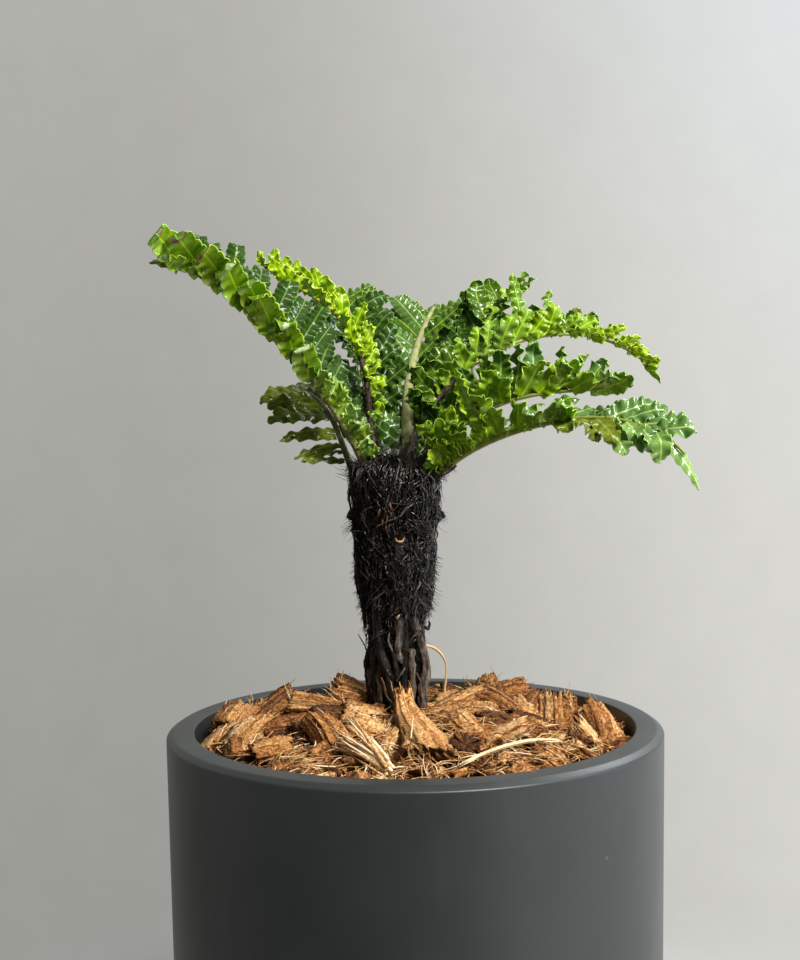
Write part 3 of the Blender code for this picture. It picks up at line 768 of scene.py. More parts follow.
# Fans of straws: foot, bearing, rise, length, how many, spread and thickness.
STRAW_FANS = (
    ((-7, -54.5, 139.2), 124, 19, 24, 24, 30, 0.62),
    ((-14, -45, 141), 134, 12, 15, 8, 26, 0.45),
    ((0, -40, 140.5), 80, 40, 10, 9, 60, 0.22),
    ((-22, 1, 146), 110, 30, 10, 26, 140, 0.16),
    ((-62, -4, 135.5), 40, 22, 10, 18, 70, 0.3),
    ((-24, 8, 146), 80, 60, 9, 14, 80, 0.2),
    ((-38, 10, 143), 130, 55, 9, 5, 40, 0.25),
)


@dataclass
class MulchBed:
    """The husk mulch: a dusty mound dark with painted shade, split chips heaped on it and loose fibres over
    them.
    """

    pot: Pot
    low: float = 128.3 * MM
    edge_top: float = 132.5 * MM
    rise: float = 8.5 * MM
    clearance: float = 0.5 * MM
    mound_rings: int = 30
    mound_sides: int = 90
    mound_depth: float = 5.4 * MM
    clearing_depth: float = 4.6 * MM
    fibres: int = 1700
    tufts: int = 120
    tuft_size: int = 8
    fibre_steps: int = 5
    fine_sides: int = 40
    seed: int = 6

    def __post_init__(self) -> None:
        """Set up the bed's two lines of chance, its draft and the fray that its blocks share."""
        self.rng = np.random.default_rng(self.seed)
        self.fray_rng = np.random.default_rng(self.seed + 1)
        self.draft, self.fray = Draft(), Draft()

    def height(self, radius: Any) -> Any:
        """The height of the mound at a distance from the middle."""
        share = np.minimum(radius / self.pot.inner_radius, 1.0)
        return self.edge_top + self.rise * (1 - share * share)

    def build(self) -> None:
        """Make the mound, the chips, their frayed ends, the crumbs and the fibres."""
        self.build_mound()
        for chip in FEATURE_CHIPS:
            self.add_chip(chip, steps=12, sides=60)
        for ribbon in FEATURE_RIBBONS:
            self.add_block(ribbon.block())
        self.add_heap(CHIPS)
        self.draft.piece("husk_chips", HUSK_TINTS, "husk")
        self.fray.piece("husk_fray", HUSK_TINTS, "husk")
        self.add_heap(CRUMBS)
        self.draft.piece("husk_crumbs", HUSK_TINTS, "husk")
        self.build_fibres()

    def build_mound(self) -> None:
        """Make the dusty mound under the chips, near black as painted shade between them."""
        wall = self.pot.inner_wall(self.low) - self.clearance
        radii = np.linspace(wall, wall / self.mound_rings, self.mound_rings)[:, None]
        angles = round_angles(self.mound_sides)
        lumps = self.rng.normal(0, 0.7 * MM, (self.mound_rings, self.mound_sides)) - self.mound_depth
        top = polar(radii, angles, self.height(radii) + lumps)
        self.draft.add_skins(np.concatenate([polar(wall, angles, self.low)[None], top])[None])
        self.draft.piece("husk_mound", [HUSK_DUST_AND_SHADE], "husk", ["husk_mulch"])

    def drawn(self, span: Span) -> float:
        """A random value from a span; a span of one value draws nothing."""
        return self.rng.uniform(*span) if span[0] < span[1] else span[0]

    def add_heap(self, heap: Heap) -> None:
        """Add a lot of chips, spread in a spiral so that they fill the bed evenly.

        Args:
            heap: The lot.
        """
        reach = self.pot.inner_wall(self.edge_top) - 5.0 * MM
        for index in range(heap.count):
            radius = reach * math.sqrt((index + 0.5) / heap.count)
            angle = index * GOLDEN_ANGLE + self.rng.uniform(-0.25, 0.25)
            size = (self.drawn(heap.lengths), self.drawn(heap.widths), self.drawn(heap.depths))
            high = self.height(radius) + self.drawn(heap.heights) * MM
            x, y = radius * math.cos(angle) / MM, radius * math.sin(angle) / MM
            if heap.clears and any(math.hypot(x - middle_x, y - middle_y) < clear
                                   for middle_x, middle_y, clear in CLEARINGS):
                high -= self.clearing_depth
            chip = Chip((x, y, high / MM), size, self.rng.uniform(0, 360), self.rng.normal(0, heap.tilt),
                        self.rng.uniform(-heap.roll, heap.roll), self.rng.choice(list(Husk), p=HUSK_ODDS),
                        self.drawn(heap.bends), self.drawn(heap.frays))
            self.add_chip(chip, heap.steps, heap.sides)

    def add_chip(self, chip: Chip, steps: int, sides: int) -> None:
        """Add one chip, narrowed somewhat towards one end."""
        self.add_block(chip.block(steps, sides, self.rng.uniform(0.65, 1.0)))

    def add_block(self, block: Block) -> None:
        """Add a block of fibres, each with its own tint and its own ends.

        Args:
            block: The block.
        """
        rng, sides, steps = self.rng, block.sides, len(block.path)
        side, above = frame_along(block.path, block.side)
        side, above = turned(side, above, np.linspace(0, rng.normal(0, 0.25), steps)[:, None])
        angles = (np.arange(sides) + rng.uniform(-0.3, 0.3, sides)) * math.tau / sides
        ridge = boxy(angles) * (1 + rng.normal(0, 0.075, sides) + 0.06 * (-1.0) ** np.arange(sides))
        wander = np.cumsum(rng.normal(0, 0.03, (steps, sides)), axis=0)
        reach = ridge[None, :] * (1 + rng.normal(0, 0.025, (steps, 1))) + wander
        share = np.linspace(-1, 1, steps)
        short = 1 - block.fray * 2 * rng.random((2, sides)) ** 1.4
        trim = np.where(share[:, None] < 0, short[0], short[1])
        where = share[:, None] * (1 + (trim - 1) * share[:, None] ** 2)
        right = side[:, None, :] * (reach * np.cos(angles) * block.widths[:, None] / 2)[..., None]
        up = above[:, None, :] * (reach * np.sin(angles) * block.depths[:, None] / 2)[..., None]
        drift = np.interp(np.arange(sides), np.linspace(0, sides, 7), rng.normal(0, 0.45, 7))
        tints = block.husk.tints(drift + rng.normal(0, 0.35, sides))
        odds = COARSE_PATCHES if sides < self.fine_sides else FINE_PATCHES
        patchy = np.tile(tints, (steps - 1, 1)) + rng.choice([-1, 0, 1], (steps - 1, sides), p=odds)
        patchy = np.clip(patchy, 0, np.maximum(tints, STRAW_TINT - 1))
        self.draft.add_drawn_in(read(where, share, block.path) + right + up,
                                read(np.array([-0.6, 0.6]), share, block.path),
                                patchy.ravel(), np.clip(tints - 1, 0, STRAW_TINT))
        if sides > CRUMBS.sides:
            self.add_fray(block, side, above)

    def add_fray(self, block: Block, side: np.ndarray, above: np.ndarray) -> None:
        """Add the loose fibres on the face of a block, some of which stick out beyond its ends.

        Args:
            block: The block.
            side: The way across it at each point.
            above: The way that its face looks at each point.
        """
        rng, steps = self.fray_rng, self.fibre_steps
        count = int(9 + 2.8 * block.widths[0] / MM)
        share = np.linspace(-1, 1, len(block.path))
        middle = rng.uniform(-0.9, 0.9, count)
        reach = rng.uniform(0.15, 0.6, count)
        along = middle[:, None] + reach[:, None] * np.linspace(-1, 1, steps)
        beyond = np.clip(np.abs(along) - 1.0, 0, 0.25)[..., None]
        along = np.clip(along, -1.0, 1.0)
        line, across, out = (read(along, share, values) for values in (block.path, side, above))
        angle = rng.uniform(0, math.tau, count)[:, None] + rng.normal(0, 0.1, (count, steps))
        proud = boxy(angle) * 1.03 / 2
        width = np.cos(angle) * proud * np.interp(along, share, block.widths)
        depth = np.sin(angle) * proud * np.interp(along, share, block.depths)
        points = line + across * width[..., None] + out * depth[..., None]
        points = points + np.sign(middle)[:, None, None] * (block.path[-1] - block.path[0]) / 2 * beyond
        points = points + rng.normal(0, 0.12 * MM, points.shape)
        radii = rng.uniform(0.08, 0.19, count)[:, None] * MM * np.array([0.5, 1, 1, 0.9, 0.4])
        self.fray.add_tubes(points, radii, 3, FIBRE_OUTWARD, block.husk.tints(rng.normal(0.6, 1.4, count)))

    def build_fibres(self) -> None:
        """Make the loose fibres, the tufts of them and the straws."""
        rng, size = self.rng, self.tuft_size
        self.add_strewn(rng.uniform(4, 13, self.fibres), rng.uniform(0, math.tau, self.fibres),
                        rng.uniform(0, 1, self.fibres))
        bearing = np.repeat(rng.uniform(0, math.tau, self.tufts), size)
        where = np.repeat(rng.uniform(0, 1, self.tufts), size)
        self.add_strewn(rng.uniform(6, 13, self.tufts * size), bearing, where, size)
        self.add_straws()
        self.draft.piece("husk_fibres", HUSK_TINTS, "husk")

    def add_strewn(self, length: np.ndarray, bearing: np.ndarray, where: np.ndarray,
                   size: int = 1) -> None:
        """Add fibres strewn over the chips.

        Args:
            length: Their lengths in millimetres.
            bearing: The angle of each one's place in the bed.
            where: The share of the bed's area inside that place.
            size: How many in turn share a direction, as those of a tuft do.
        """
        rng, count = self.rng, len(length)
        share = np.linspace(0, 1, self.fibre_steps)
        length = length * MM
        radius = (self.pot.inner_radius - 6 * MM) * np.sqrt(where)
        turn = np.repeat(rng.uniform(0, math.tau, count // size), size)
        turn = turn + rng.normal(0, 1, count) * (0.16 if size > 1 else 0.0)
        rise = np.repeat(rng.normal(0.05, 0.2, count // size), size) + rng.normal(0, 0.08, count)
        lift = rng.uniform(0.6, 3.6, count) * MM
        bow = rng.normal(0, 0.14, count) * length
        along = (share - 0.5) * length[:, None]
        across = bow[:, None] * (1 - (share * 2 - 1) ** 2)
        across = across + rng.normal(0, 0.5 * MM, count)[:, None] * (size > 1)
        cosine, sine = np.cos(turn)[:, None], np.sin(turn)[:, None]
        x = (radius * np.cos(bearing))[:, None] + along * cosine - across * sine
        y = (radius * np.sin(bearing))[:, None] + along * sine + across * cosine
        limit = self.pot.inner_wall(self.edge_top) - 1.5 * MM
        pull = np.minimum(1.0, limit / np.maximum(np.hypot(x, y), 1e-6))
        x, y = x * pull, y * pull
        z = self.height(np.hypot(x, y)) + lift[:, None] + along * rise[:, None]
        z = z + np.sin(share * math.pi) * rng.uniform(0, 1.4, count)[:, None] * MM
        thick = rng.uniform(0.13, 0.3, count)[:, None] * MM * (1 - 0.6 * np.abs(share * 2 - 1))
        kinds = rng.choice([1, 2, 3, 4, 5], count, p=[0.12, 0.24, 0.28, 0.22, 0.14])
        self.draft.add_tubes(np.stack([x, y, z], -1), thick, 3, FIBRE_OUTWARD, kinds)

    def add_straws(self) -> None:
        """Add the pale straws: a fan in front and frayed tufts at the left."""
        rng, steps = self.rng, 8
        share = np.linspace(0, 1, steps)
        for foot, turn, tilt, length, count, spread, thick in STRAW_FANS:
            for _ in range(count):
                bearing = math.radians(turn + rng.uniform(-1, 1) * spread / 2)
                rise = math.radians(tilt + rng.normal(0, 6))
                reach = length * rng.uniform(0.55, 1.05) * MM
                start = np.array(foot) * MM + rng.normal(0, 0.9 * MM, 3)
                way = polar(math.cos(rise), bearing, math.sin(rise)) * reach
                path = arcs(start[None], way[None], -UP[None] * rng.uniform(0, 0.14) * reach, steps)
                radii = rng.uniform(0.6, 1.1) * thick * MM * (1 - 0.75 * share ** 2)
                self.draft.add_tubes(path, radii[None], 5, (0.3, -0.7, 0.6), int(rng.choice([4, 5, 5])))


# Black felt, darkened further as painted shade for the gaps between the hairs and the roots.
ROOT_FELT_AND_SHADE = Finish("black_root_felt_and_shade", (0.001, 0.0008, 0.0006), (0.005, 0.0034, 0.0022), 900,
                   (0.7, 0.95), 0.0003, 0.06)
ROOT_WOOD = Finish("grey_brown_root_wood", (0.008, 0.005, 0.003), (0.165, 0.122, 0.092), 1100,
                   (0.45, 0.7), 0.0006, 0.4, (1, 1, 0.22))
ROOT_DARK = Finish("dark_root_wood", (0.0008, 0.0006, 0.0004), (0.026, 0.018, 0.012), 1100,
                   (0.45, 0.7), 0.0006, 0.16, (1, 1, 0.3))
ROOT_RUST = Finish("rusty_root_scale", (0.045, 0.018, 0.008), (0.15, 0.062, 0.024), 800,
                   (0.5, 0.75), 0.0002, 0.4)
HAIR_BLACK = Finish("black_root_hair", (0.0008, 0.0007, 0.0007), (0.003, 0.0024, 0.0022), 300,
                    (0.14, 0.24), 0.00002, 0.42)
HAIR_BROWN = Finish("brown_root_hair", (0.006, 0.0035, 0.0022), (0.04, 0.022, 0.012), 300,
                    (0.35, 0.55), 0.00002, 0.26)
HAIR_GREY = Finish("grey_root_hair", (0.02, 0.018, 0.016), (0.13, 0.116, 0.104), 300,
                   (0.26, 0.42), 0.00002, 0.4)
STUB_CREAM = Finish("cut_stub_cream", (0.62, 0.38, 0.14), (0.75, 0.52, 0.24), 600, (0.5, 0.7), 0.0001)
BASE_TAN = Finish("old_base_tan", (0.3, 0.15, 0.055), (0.46, 0.26, 0.11), 600, (0.5, 0.7), 0.0001)
STIPE_BROWN = Finish("scaly_stipe_brown", (0.018, 0.009, 0.005), (0.085, 0.042, 0.018), 900,
                     (0.45, 0.7), 0.0004, 0.45)
ROOT_FINISHES = (ROOT_WOOD, ROOT_DARK, HAIR_GREY, ROOT_RUST, STUB_CREAM, BASE_TAN)
WOOD, DARK, GREY, RUST, CREAM, TAN = range(len(ROOT_FINISHES))


@dataclass(frozen=True)
class Fleece:
    """A lot of root hairs in locks: how many locks and hairs in each, where down the trunk they
    start, how long they are, how far they lift off, how much they slant and wave, how far their
    ends flick out, and how thick they are."""

    locks: int
    hairs: int
    start: Span
    lengths: Span
    lift: Span
    slant: float
    wave: float
    flick: Span
    thick: Span


FLEECES = (
    Fleece(95, 6, (2, 13), (8, 20), (0.3, 1.8), 12, 0.5, (0, 0.5), (0.14, 0.32)),
    Fleece(130, 5, (12, 38), (5, 13), (0.4, 2), 26, 0.9, (0, 2.2), (0.16, 0.36)),
    Fleece(120, 5, (32, 52), (5, 10), (0.4, 2), 22, 0.8, (0.8, 3.4), (0.16, 0.34)),
    Fleece(34, 4, (54, 84), (4, 11), (0.4, 2), 26, 0.7, (0, 1.2), (0.09, 0.17)),
    Fleece(64, 7, (22, 52), (3.5, 6.5), (0.2, 0.7), 30, 0.4, (2.2, 5.2), (0.1, 0.19)),
)
FRIZZ = (
    Fleece(420, 1, (12, 60), (4, 9), (0.5, 2.2), 60, 1, (1.2, 4.4), (0.07, 0.15)),
    Fleece(100, 1, (60, 90), (4, 8), (0.3, 1.2), 70, 1, (0.4, 2.6), (0.06, 0.11)),
    Fleece(380, 1, (12, 50), (3, 7), (0.8, 2.4), 90, 1.4, (0.2, 1.6), (0.08, 0.15)),
)


@dataclass(frozen=True)
class Root:
    """A woody root on the trunk, by its points: the bearing round the trunk from the front in
    degrees, the height, how far its middle stands off the bark, and its radius."""

    points: tuple[tuple[float, float, float, float], ...]
    finish: int = WOOD


FRONT_ROOTS = (
    Root(((50, 173, -0.3, 0.8), (56, 169, 0.6, 0.95), (68, 165, 1, 1.05), (78, 161, 1.6, 1.25),
          (80, 156.7, 2.2, 1.35), (73, 152, 1.8, 1.3), (60, 147.7, 1.8, 1.2), (64, 144.5, 2, 1.2),
          (80, 140, 2.6, 1.4), (88, 134, 3, 1.3))),
    Root(((3, 176, 0, 0.8), (4, 173, 0.8, 1), (9, 168, 1.1, 1.1), (3, 163.5, 1.1, 1.05), (9, 160.5, 0.9, 1),
          (13, 159.3, 0.5, 0.6))),
    Root(((33, 163.4, 1.3, 1.15), (33, 160, 1.3, 1.15), (36, 156, 0.9, 1.05), (40, 151, 0.2, 1),
          (40, 146, -0.3, 0.9))),
    Root(((-62, 172, -0.2, 1.1), (-66, 164, 0.8, 1.3), (-79, 158, 1.6, 1.5), (-80, 153, 1.2, 1.5),
          (-54, 148.3, 0.6, 1.4), (-38, 143, 0.4, 1.3), (-34, 138, 0.6, 1.3)), DARK),
    Root(((-44, 176, -0.2, 1), (-46, 170.5, 0.7, 1.3), (-40, 165, 0.9, 1.5), (-26, 159.5, 0.9, 1.5),
          (-15, 154, 0.6, 1.4), (-11, 148, 0.3, 1.2), (-14, 142, 0.2, 1.2)), DARK),
    Root(((-8, 166, 0.1, 0.6), (-5, 163, 0.8, 0.75), (-1, 158, 0.9, 0.75), (2, 154.5, 0.2, 0.6)), DARK),
    Root(((20, 172, 0, 0.7), (22, 166, 0.5, 0.9), (20, 158, 0.3, 0.9), (17, 150, 0.2, 1),
          (20, 142, 0.3, 1.2)), DARK),
    Root(((2, 197, 0.6, 1.1), (4, 193, 0.9, 1.3), (3, 187, 0.7, 1.3), (0, 180, -0.2, 1)), DARK),
    Root(((97, 172, 0, 1), (92, 165, 0.6, 1.2), (99, 158, 0.8, 1.3), (108, 150, 0.8, 1.3),
          (112, 142, 1.4, 1.4), (122, 136, 1.6, 1.3)), DARK),
)
DEAD_ROOTLETS = (
    Root(((-96, 167, 4.6, 0.12), (-84, 164, 2.6, 0.2), (-72, 161, 1.6, 0.28), (-60, 158, 1.4, 0.25)), GREY),
    Root(((-30, 160.5, 1.6, 0.3), (-20, 158, 2.2, 0.3), (-10, 155.6, 2, 0.24)), GREY),
    Root(((16, 158, 2.6, 0.26), (8, 156, 2.8, 0.26), (0, 154, 2.6, 0.2)), GREY),
    Root(((-28, 155, 2.2, 0.3), (-21, 153, 2.6, 0.34), (-20, 150, 2.4, 0.34),
          (-8, 147.6, 2.6, 0.26)), RUST),
    Root(((42, 156, 1.8, 0.3), (52, 153, 2.2, 0.32), (56, 148, 2.2, 0.3)), RUST),
    Root(((2, 173, 2.4, 0.16), (5, 174, 2.6, 0.24), (8, 174.6, 2.2, 0.14)), CREAM),
    Root(((-6, 163, 2, 0.3), (-14, 166, 2.2, 0.32), (-12, 168.6, 1.8, 0.25)), GREY),
    Root(((70, 169.5, 1.8, 0.5), (84, 168.5, 2.8, 0.55), (92, 170, 3.2, 0.4), (86, 171.2, 2.8, 0.3)), DARK),
)
# The places of small rusty scales: bearing from the front in degrees, and height.
RUSTY_SCALES = ((-12, 206.5), (-6, 208), (-15, 203.5), (-8, 204), (-3, 205.5), (-18, 206),
                (-11, 201.5), (-5, 202))
# Single stubs: bearing from +X in degrees, height, length, radius and finish.
STUBS = ((-8, 213, 8, 1.5, DARK), (186, 201, 6, 1.9, DARK), (-2, 200, 6.8, 2.2, DARK),
         (-30, 213, 7, 1.4, DARK), (-96, 201.5, 3.4, 0.5, RUST), (-88, 202.5, 3, 0.35, RUST),
         (-84, 200.5, 3, 0.4, RUST))
CREAM_ARCH = ((3, 5, 162.3), (7.4, 8, 160.5), (9.8, 9.5, 157), (10.2, 10.5, 152.6),
              (9.6, 11.5, 146.5), (9.4, 12, 140.5))
CRESCENT_PLACE = (7, 197.3)


@dataclass
class Trunk:
    """The trunk: a relief of felted roots, woody roots down its lower half, and its hair."""

    centre_x: float = -5.5 * MM
    lean: float = 0.3 * MM
    outline: tuple[Span, ...] = (
        (128.3, 11.6), (132, 9.6), (138, 7.9), (143, 6.9), (149, 7), (154, 7.3),
        (161, 7.1), (169, 7.2), (174, 7.7), (178.5, 8.7), (183, 9.6), (189, 10.1),
        (196, 10.6), (203, 11.3), (209, 11.8), (213, 12), (216.5, 11.2), (218.6, 9),
        (219.8, 5.5), (220.2, 0.6),
    )
    leaning_height: float = 92.3 * MM
    lobes: int = 5
    lobe_depth: float = 0.045
    twist: float = 14.0
    side_roots: int = 13
    rings: int = 200
    sides: int = 160
    old_bases: int = 30
    bases_low: float = 172
    bases_height: float = 42
    bristles: int = 420
    bristle_reach: float = 12.0 * MM
    foot_length: float = 12.0 * MM
    seed: int = 23

    def __post_init__(self) -> None:
        """Work out the curve from the top of the trunk down its side."""
        self.rng, self.draft = np.random.default_rng(self.seed), Draft()
        self.low = self.outline[0][0] * MM
        self.run_heights, self.run_radii = np.array(self.outline[::-1]).T * MM
        step = np.hypot(np.diff(self.run_heights), np.diff(self.run_radii))
        self.run = np.concatenate([[0], np.cumsum(step)])

    def axis_x(self, height: Any) -> Any:
        """The middle of the trunk in x at a height."""
        return self.centre_x + self.lean * (height - self.low) / self.leaning_height

    def radius(self, height: Any) -> Any:
        """The radius of the trunk at a height."""
        return np.interp(height, self.run_heights[::-1], self.run_radii[::-1])

    def run_of(self, height: Any) -> Any:
        """The distance down the side at a height."""
        return np.interp(height, self.run_heights[::-1], self.run[::-1])

    def at(self, radius: Any, bearing: Any, height: Any) -> np.ndarray:
        """Points by their distance from the trunk's middle, their bearing and their height."""
        points = polar(radius, bearing, height)
        points[..., 0] += self.axis_x(height)
        return points

    def surface(self, run: Any, bearing: Any, proud: Any) -> np.ndarray:
        """Points on or above the trunk.

        Args:
            run: The distance down from the middle of its top, along its side.
            bearing: The bearing round it.
            proud: The height above its side.

        Returns:
            The points.
        """
        soft = 1.5 * MM
        (above, below), (behind, ahead) = (
            [np.interp(run + shift, self.run, values) for shift in (-soft, soft)]
            for values in (self.run_heights, self.run_radii))
        fall, widen = above - below, ahead - behind
        size = np.maximum(np.hypot(fall, widen), 1e-9)
        height = np.interp(run, self.run, self.run_heights) + proud * widen / size
        return self.at(np.interp(run, self.run, self.run_radii) + proud * fall / size, bearing, height)

    def build(self) -> None:
        """Make the relief, the woody roots and the hair."""
        self.build_relief()
        self.build_roots()
        for name, fleeces in (("trunk_mantle_hair", FLEECES), ("trunk_frizz", FRIZZ)):
            for fleece in fleeces:
                self.add_fleece(fleece)
            if fleeces is FRIZZ:
                self.add_bristles()
            self.draft.piece(name, [HAIR_BLACK, HAIR_BROWN, HAIR_GREY], "trunk")

    def base_height(self, index: int) -> float:
        """The height of one of the old leaf bases, which wind up the trunk."""
        return (self.bases_low + self.bases_height * index / self.old_bases) * MM

    def ripples(self, count: int, waves: Span, slant: float, bearing: np.ndarray,
                height: np.ndarray) -> np.ndarray:
        """Many waves laid over each other.

        Args:
            count: How many.
            waves: The span of how many crests each has round the trunk.
            slant: How much they slant.
            bearing: The bearings where they are read.
            height: The heights where they are read.

        Returns:
            Their sum.
        """
        total = np.zeros(np.broadcast_shapes(bearing.shape, height.shape))
        for _ in range(count):
            crests = self.rng.integers(*waves)
            rise = self.rng.normal(0, slant) * height
            total += np.cos(crests * bearing + rise + self.rng.uniform(0, 6.3))
        return total

    def build_relief(self) -> None:
        """Make the trunk's skin: lobes, the scars of old leaves and a felted grain, near black partly as
        painted shade between the hairs.
        """
        run = np.linspace(0.3 * MM, self.run[-1], self.rings)[:, None]
        bearing = round_angles(self.sides)[None, :]
        height = np.interp(run, self.run, self.run_heights)
        around = np.interp(run, self.run, self.run_radii)
        proud = around * self.lobe_depth * np.cos(self.lobes * (bearing + self.twist * (height - self.low)))
        scar = np.zeros_like(proud)
        for index in range(self.old_bases):
            off = (bearing - index * GOLDEN_ANGLE + math.pi) % math.tau - math.pi
            near = (off * around / (2.4 * MM)) ** 2 + ((height - self.base_height(index)) / (3.2 * MM)) ** 2
            scar = np.maximum(scar, np.exp(-near) * self.rng.uniform(0.6, 1.6) * MM)
        grain = self.ripples(46, (12, 80), 260, bearing, height)
        lumps = self.ripples(16, (2, 9), 420, bearing, height)
        relief = (grain * 0.05 + lumps * 0.13) * MM * np.clip(run / (6 * MM), 0, 1)
        self.draft.add_skins(self.surface(run, bearing, proud + scar + relief)[None], way=-1)
        self.draft.piece("trunk_bark", [ROOT_FELT_AND_SHADE], "trunk", ["trunk"])

    def add_root(self, root: Root, sides: int = 16) -> None:
        """Add a root along the bark, with knots and a slight sway.

        Args:
            root: The root.
            sides: How many sides it has.
        """
        rng, steps = self.rng, 7 * (len(root.points) - 1) + 1
        share = np.linspace(0, 1, steps)
        front, height, proud, radii = read(share, np.linspace(0, 1, len(root.points)),
                                           np.array(root.points)).T
        for _ in range(4):
            for values in (front, height, proud):
                values[1:-1] = np.convolve(values, (0.25, 0.5, 0.25), "valid")
        bearing = np.radians(front - 90)
        path = self.surface(self.run_of(height * MM), bearing, proud * MM)
        knots = 1 + 0.1 * np.sin(share * rng.uniform(14, 30) + rng.uniform(0, 6))
        radii = radii * MM * knots * (1 + rng.normal(0, 0.03, steps))
        radii[0], radii[-1] = radii[0] * 0.7, radii[-1] * 0.6
        rough = np.cumsum(rng.normal(0, 0.075, (steps, sides)), axis=0)
        rough = 1 + rough - rough.mean(axis=0) + rng.normal(0, 0.08, sides)
        self.draft.add_tubes(path[None], radii[None], sides, polar(1.0, bearing, 0.0), root.finish, rough)

    def build_roots(self) -> None:
        """Make the roots that stand proud of the bark, and the stubs of spent leaves."""
        rng = self.rng
        for root in FRONT_ROOTS:
            self.add_root(root)
        for root in DEAD_ROOTLETS:
            self.add_root(root, 6)
        for index in range(self.side_roots):
            self.add_root(self.side_root(index))
        for index in range(self.old_bases):
            self.add_stub(index * GOLDEN_ANGLE, self.base_height(index),
                          rng.uniform(2.0, 4.0) * MM, rng.uniform(0.8, 1.5) * MM, DARK)
        for bearing, height, length, thick, finish in STUBS:
            self.add_stub(math.radians(bearing), height * MM, length * MM, thick * MM, finish)
        for front, height in RUSTY_SCALES:
            slant = rng.normal(0, 5)
            points = tuple((front + slant * i / 3, height - 1.3 * i, 1.4 + 0.9 * math.sin(i + 0.5),
                            0.34 - 0.07 * i) for i in range(4))
            self.add_root(Root(points, RUST), 6)
        self.add_cream_parts()
        self.draft.piece("trunk_roots", ROOT_FINISHES, "trunk")

    def side_root(self, index: int) -> Root:
        """One of the roots round the sides and the back, of which every fifth is set aside.

        Args:
            index: Its number.

        Returns:
            The root.
        """
        rng, steps = self.rng, 8
        front = 128 + 200 * index / self.side_roots - (60 if index % 5 == 4 else 0)
        drift, thick = rng.normal(0, 9), rng.uniform(0.8, 1.5)
        heights = np.linspace(rng.uniform(168, 178), 133, steps)
        return Root(tuple((front + drift * math.sin(2.2 * i / 7) + rng.normal(0, 3), height,
                           0.35 + 0.5 * math.sin(i * 1.3 + index) + (0.6 if i > 5 else 0.0),
                           thick * (0.8 + 0.2 * math.sin(math.pi * i / 7)))
                          for i, height in enumerate(heights)), (WOOD, DARK)[index % 2])

    def add_cream_parts(self) -> None:
        """Add the pale fibre that arches out behind, and the pale cut edge of an old leaf base."""
        steps = 22
        radii = (0.34 + 0.12 * np.sin(np.linspace(0, 1, steps) * 9)) * MM
        self.draft.add_tubes(smooth_path(CREAM_ARCH, steps)[None], radii[None], 8, (0.2, -1.0, 0.1), CREAM)
        front, height = CRESCENT_PLACE
        bearing = math.radians(front - 90)
        middle = self.surface(self.run_of(height * MM), bearing, 2.3 * MM)
        angles = np.radians(np.linspace(165, 375, 12))
        ring = beside(middle, polar(1.0, bearing + math.pi / 2, 0.0), UP, np.cos(angles) * 1.25 * MM,
                      np.sin(angles) * 1.0 * MM)
        radii = (0.25 - 0.11 * np.cos(angles * 2)) * MM
        self.draft.add_tubes(ring[None], radii[None], 7, polar(1.0, bearing, 0.2), TAN)

    def add_stub(self, bearing: float, height: float, length: float, thick: float,
                 finish: int) -> None:
        """Add the stub of an old leaf, leaning out and up from the bark.

        Args:
            bearing: Its bearing round the trunk.
            height: The height of its foot.
            length: Its length.
            thick: Its radius.
            finish: Its finish number.
        """
        rng, steps = self.rng, 9
        start = self.at(self.radius(height) - 1.5 * MM, bearing, height)
        way = unit(polar(1.0, bearing, rng.uniform(0.5, 1.3))) * length
        path = arcs(start[None], way[None], rng.normal(0, 0.15, (1, 3)) * length, steps)
        radii = thick * (1 - 0.4 * np.linspace(0, 1, steps)) * (1 + rng.normal(0, 0.13, steps))
        self.draft.add_tubes(path, radii[None], 9, (0.21, 0.17, -0.4), finish)

    def add_fleece(self, fleece: Fleece) -> None:
        """Add one lot of hairs, combed down the trunk in locks that draw together at their ends.

        Args:
            fleece: The lot.
        """
        rng, locks, hairs = self.rng, fleece.locks, fleece.hairs
        count = locks * hairs
        share = np.linspace(0, 1, 9)[None, :]

        def per_lock(values: np.ndarray, own: float) -> np.ndarray:
            """One value for each hair, near that of its lock."""
            return (np.repeat(values, hairs) + rng.normal(0, own, count))[:, None]

        start = per_lock(rng.uniform(*fleece.start, locks), 1.2) * MM
        length = per_lock(rng.uniform(*fleece.lengths, locks), 1.6) * MM
        slant = np.radians(per_lock(rng.normal(0, fleece.slant, locks), 3.0))
        wave = per_lock(rng.normal(0, fleece.wave, locks), 0.25) * MM
        cycles = math.tau * length / (per_lock(rng.uniform(4, 9, locks), 0.5) * MM)
        phase = per_lock(rng.uniform(0, 6.3, locks), 0.4)
        bearing = np.repeat(rng.uniform(0, math.tau, locks), hairs)[:, None]
        spread = rng.normal(0, 1.3 * MM, count)[:, None] * (hairs > 1)
        run = np.maximum(start, 0.5 * MM) + length * share * np.cos(slant)
        run = np.minimum(run, self.run[-1] - self.foot_length)
        sway = wave * (np.sin(cycles * share + phase) - np.sin(phase)) * 0.7
        aside = length * share * np.sin(slant) + sway + spread * (1 - 0.6 * share)
        around = np.maximum(np.interp(run, self.run, self.run_radii), 3 * MM)
        lift = per_lock(rng.uniform(*fleece.lift, locks), 0.2) * MM
        flick = per_lock(rng.uniform(*fleece.flick, locks), 0.2) * MM
        proud = lift * np.sin(math.pi * share ** 0.6) + flick * share ** 3 + 0.5 * MM
        path = self.surface(run, bearing + aside / around, proud)
        radii = rng.uniform(*fleece.thick, count)[:, None] * MM * (1 - 0.75 * share ** 2)
        kinds = rng.choice([0, 1, 2], count, p=[0.7, 0.19, 0.11])
        self.draft.add_tubes(path, radii, 3, polar(1.0, bearing, 0.15), kinds)

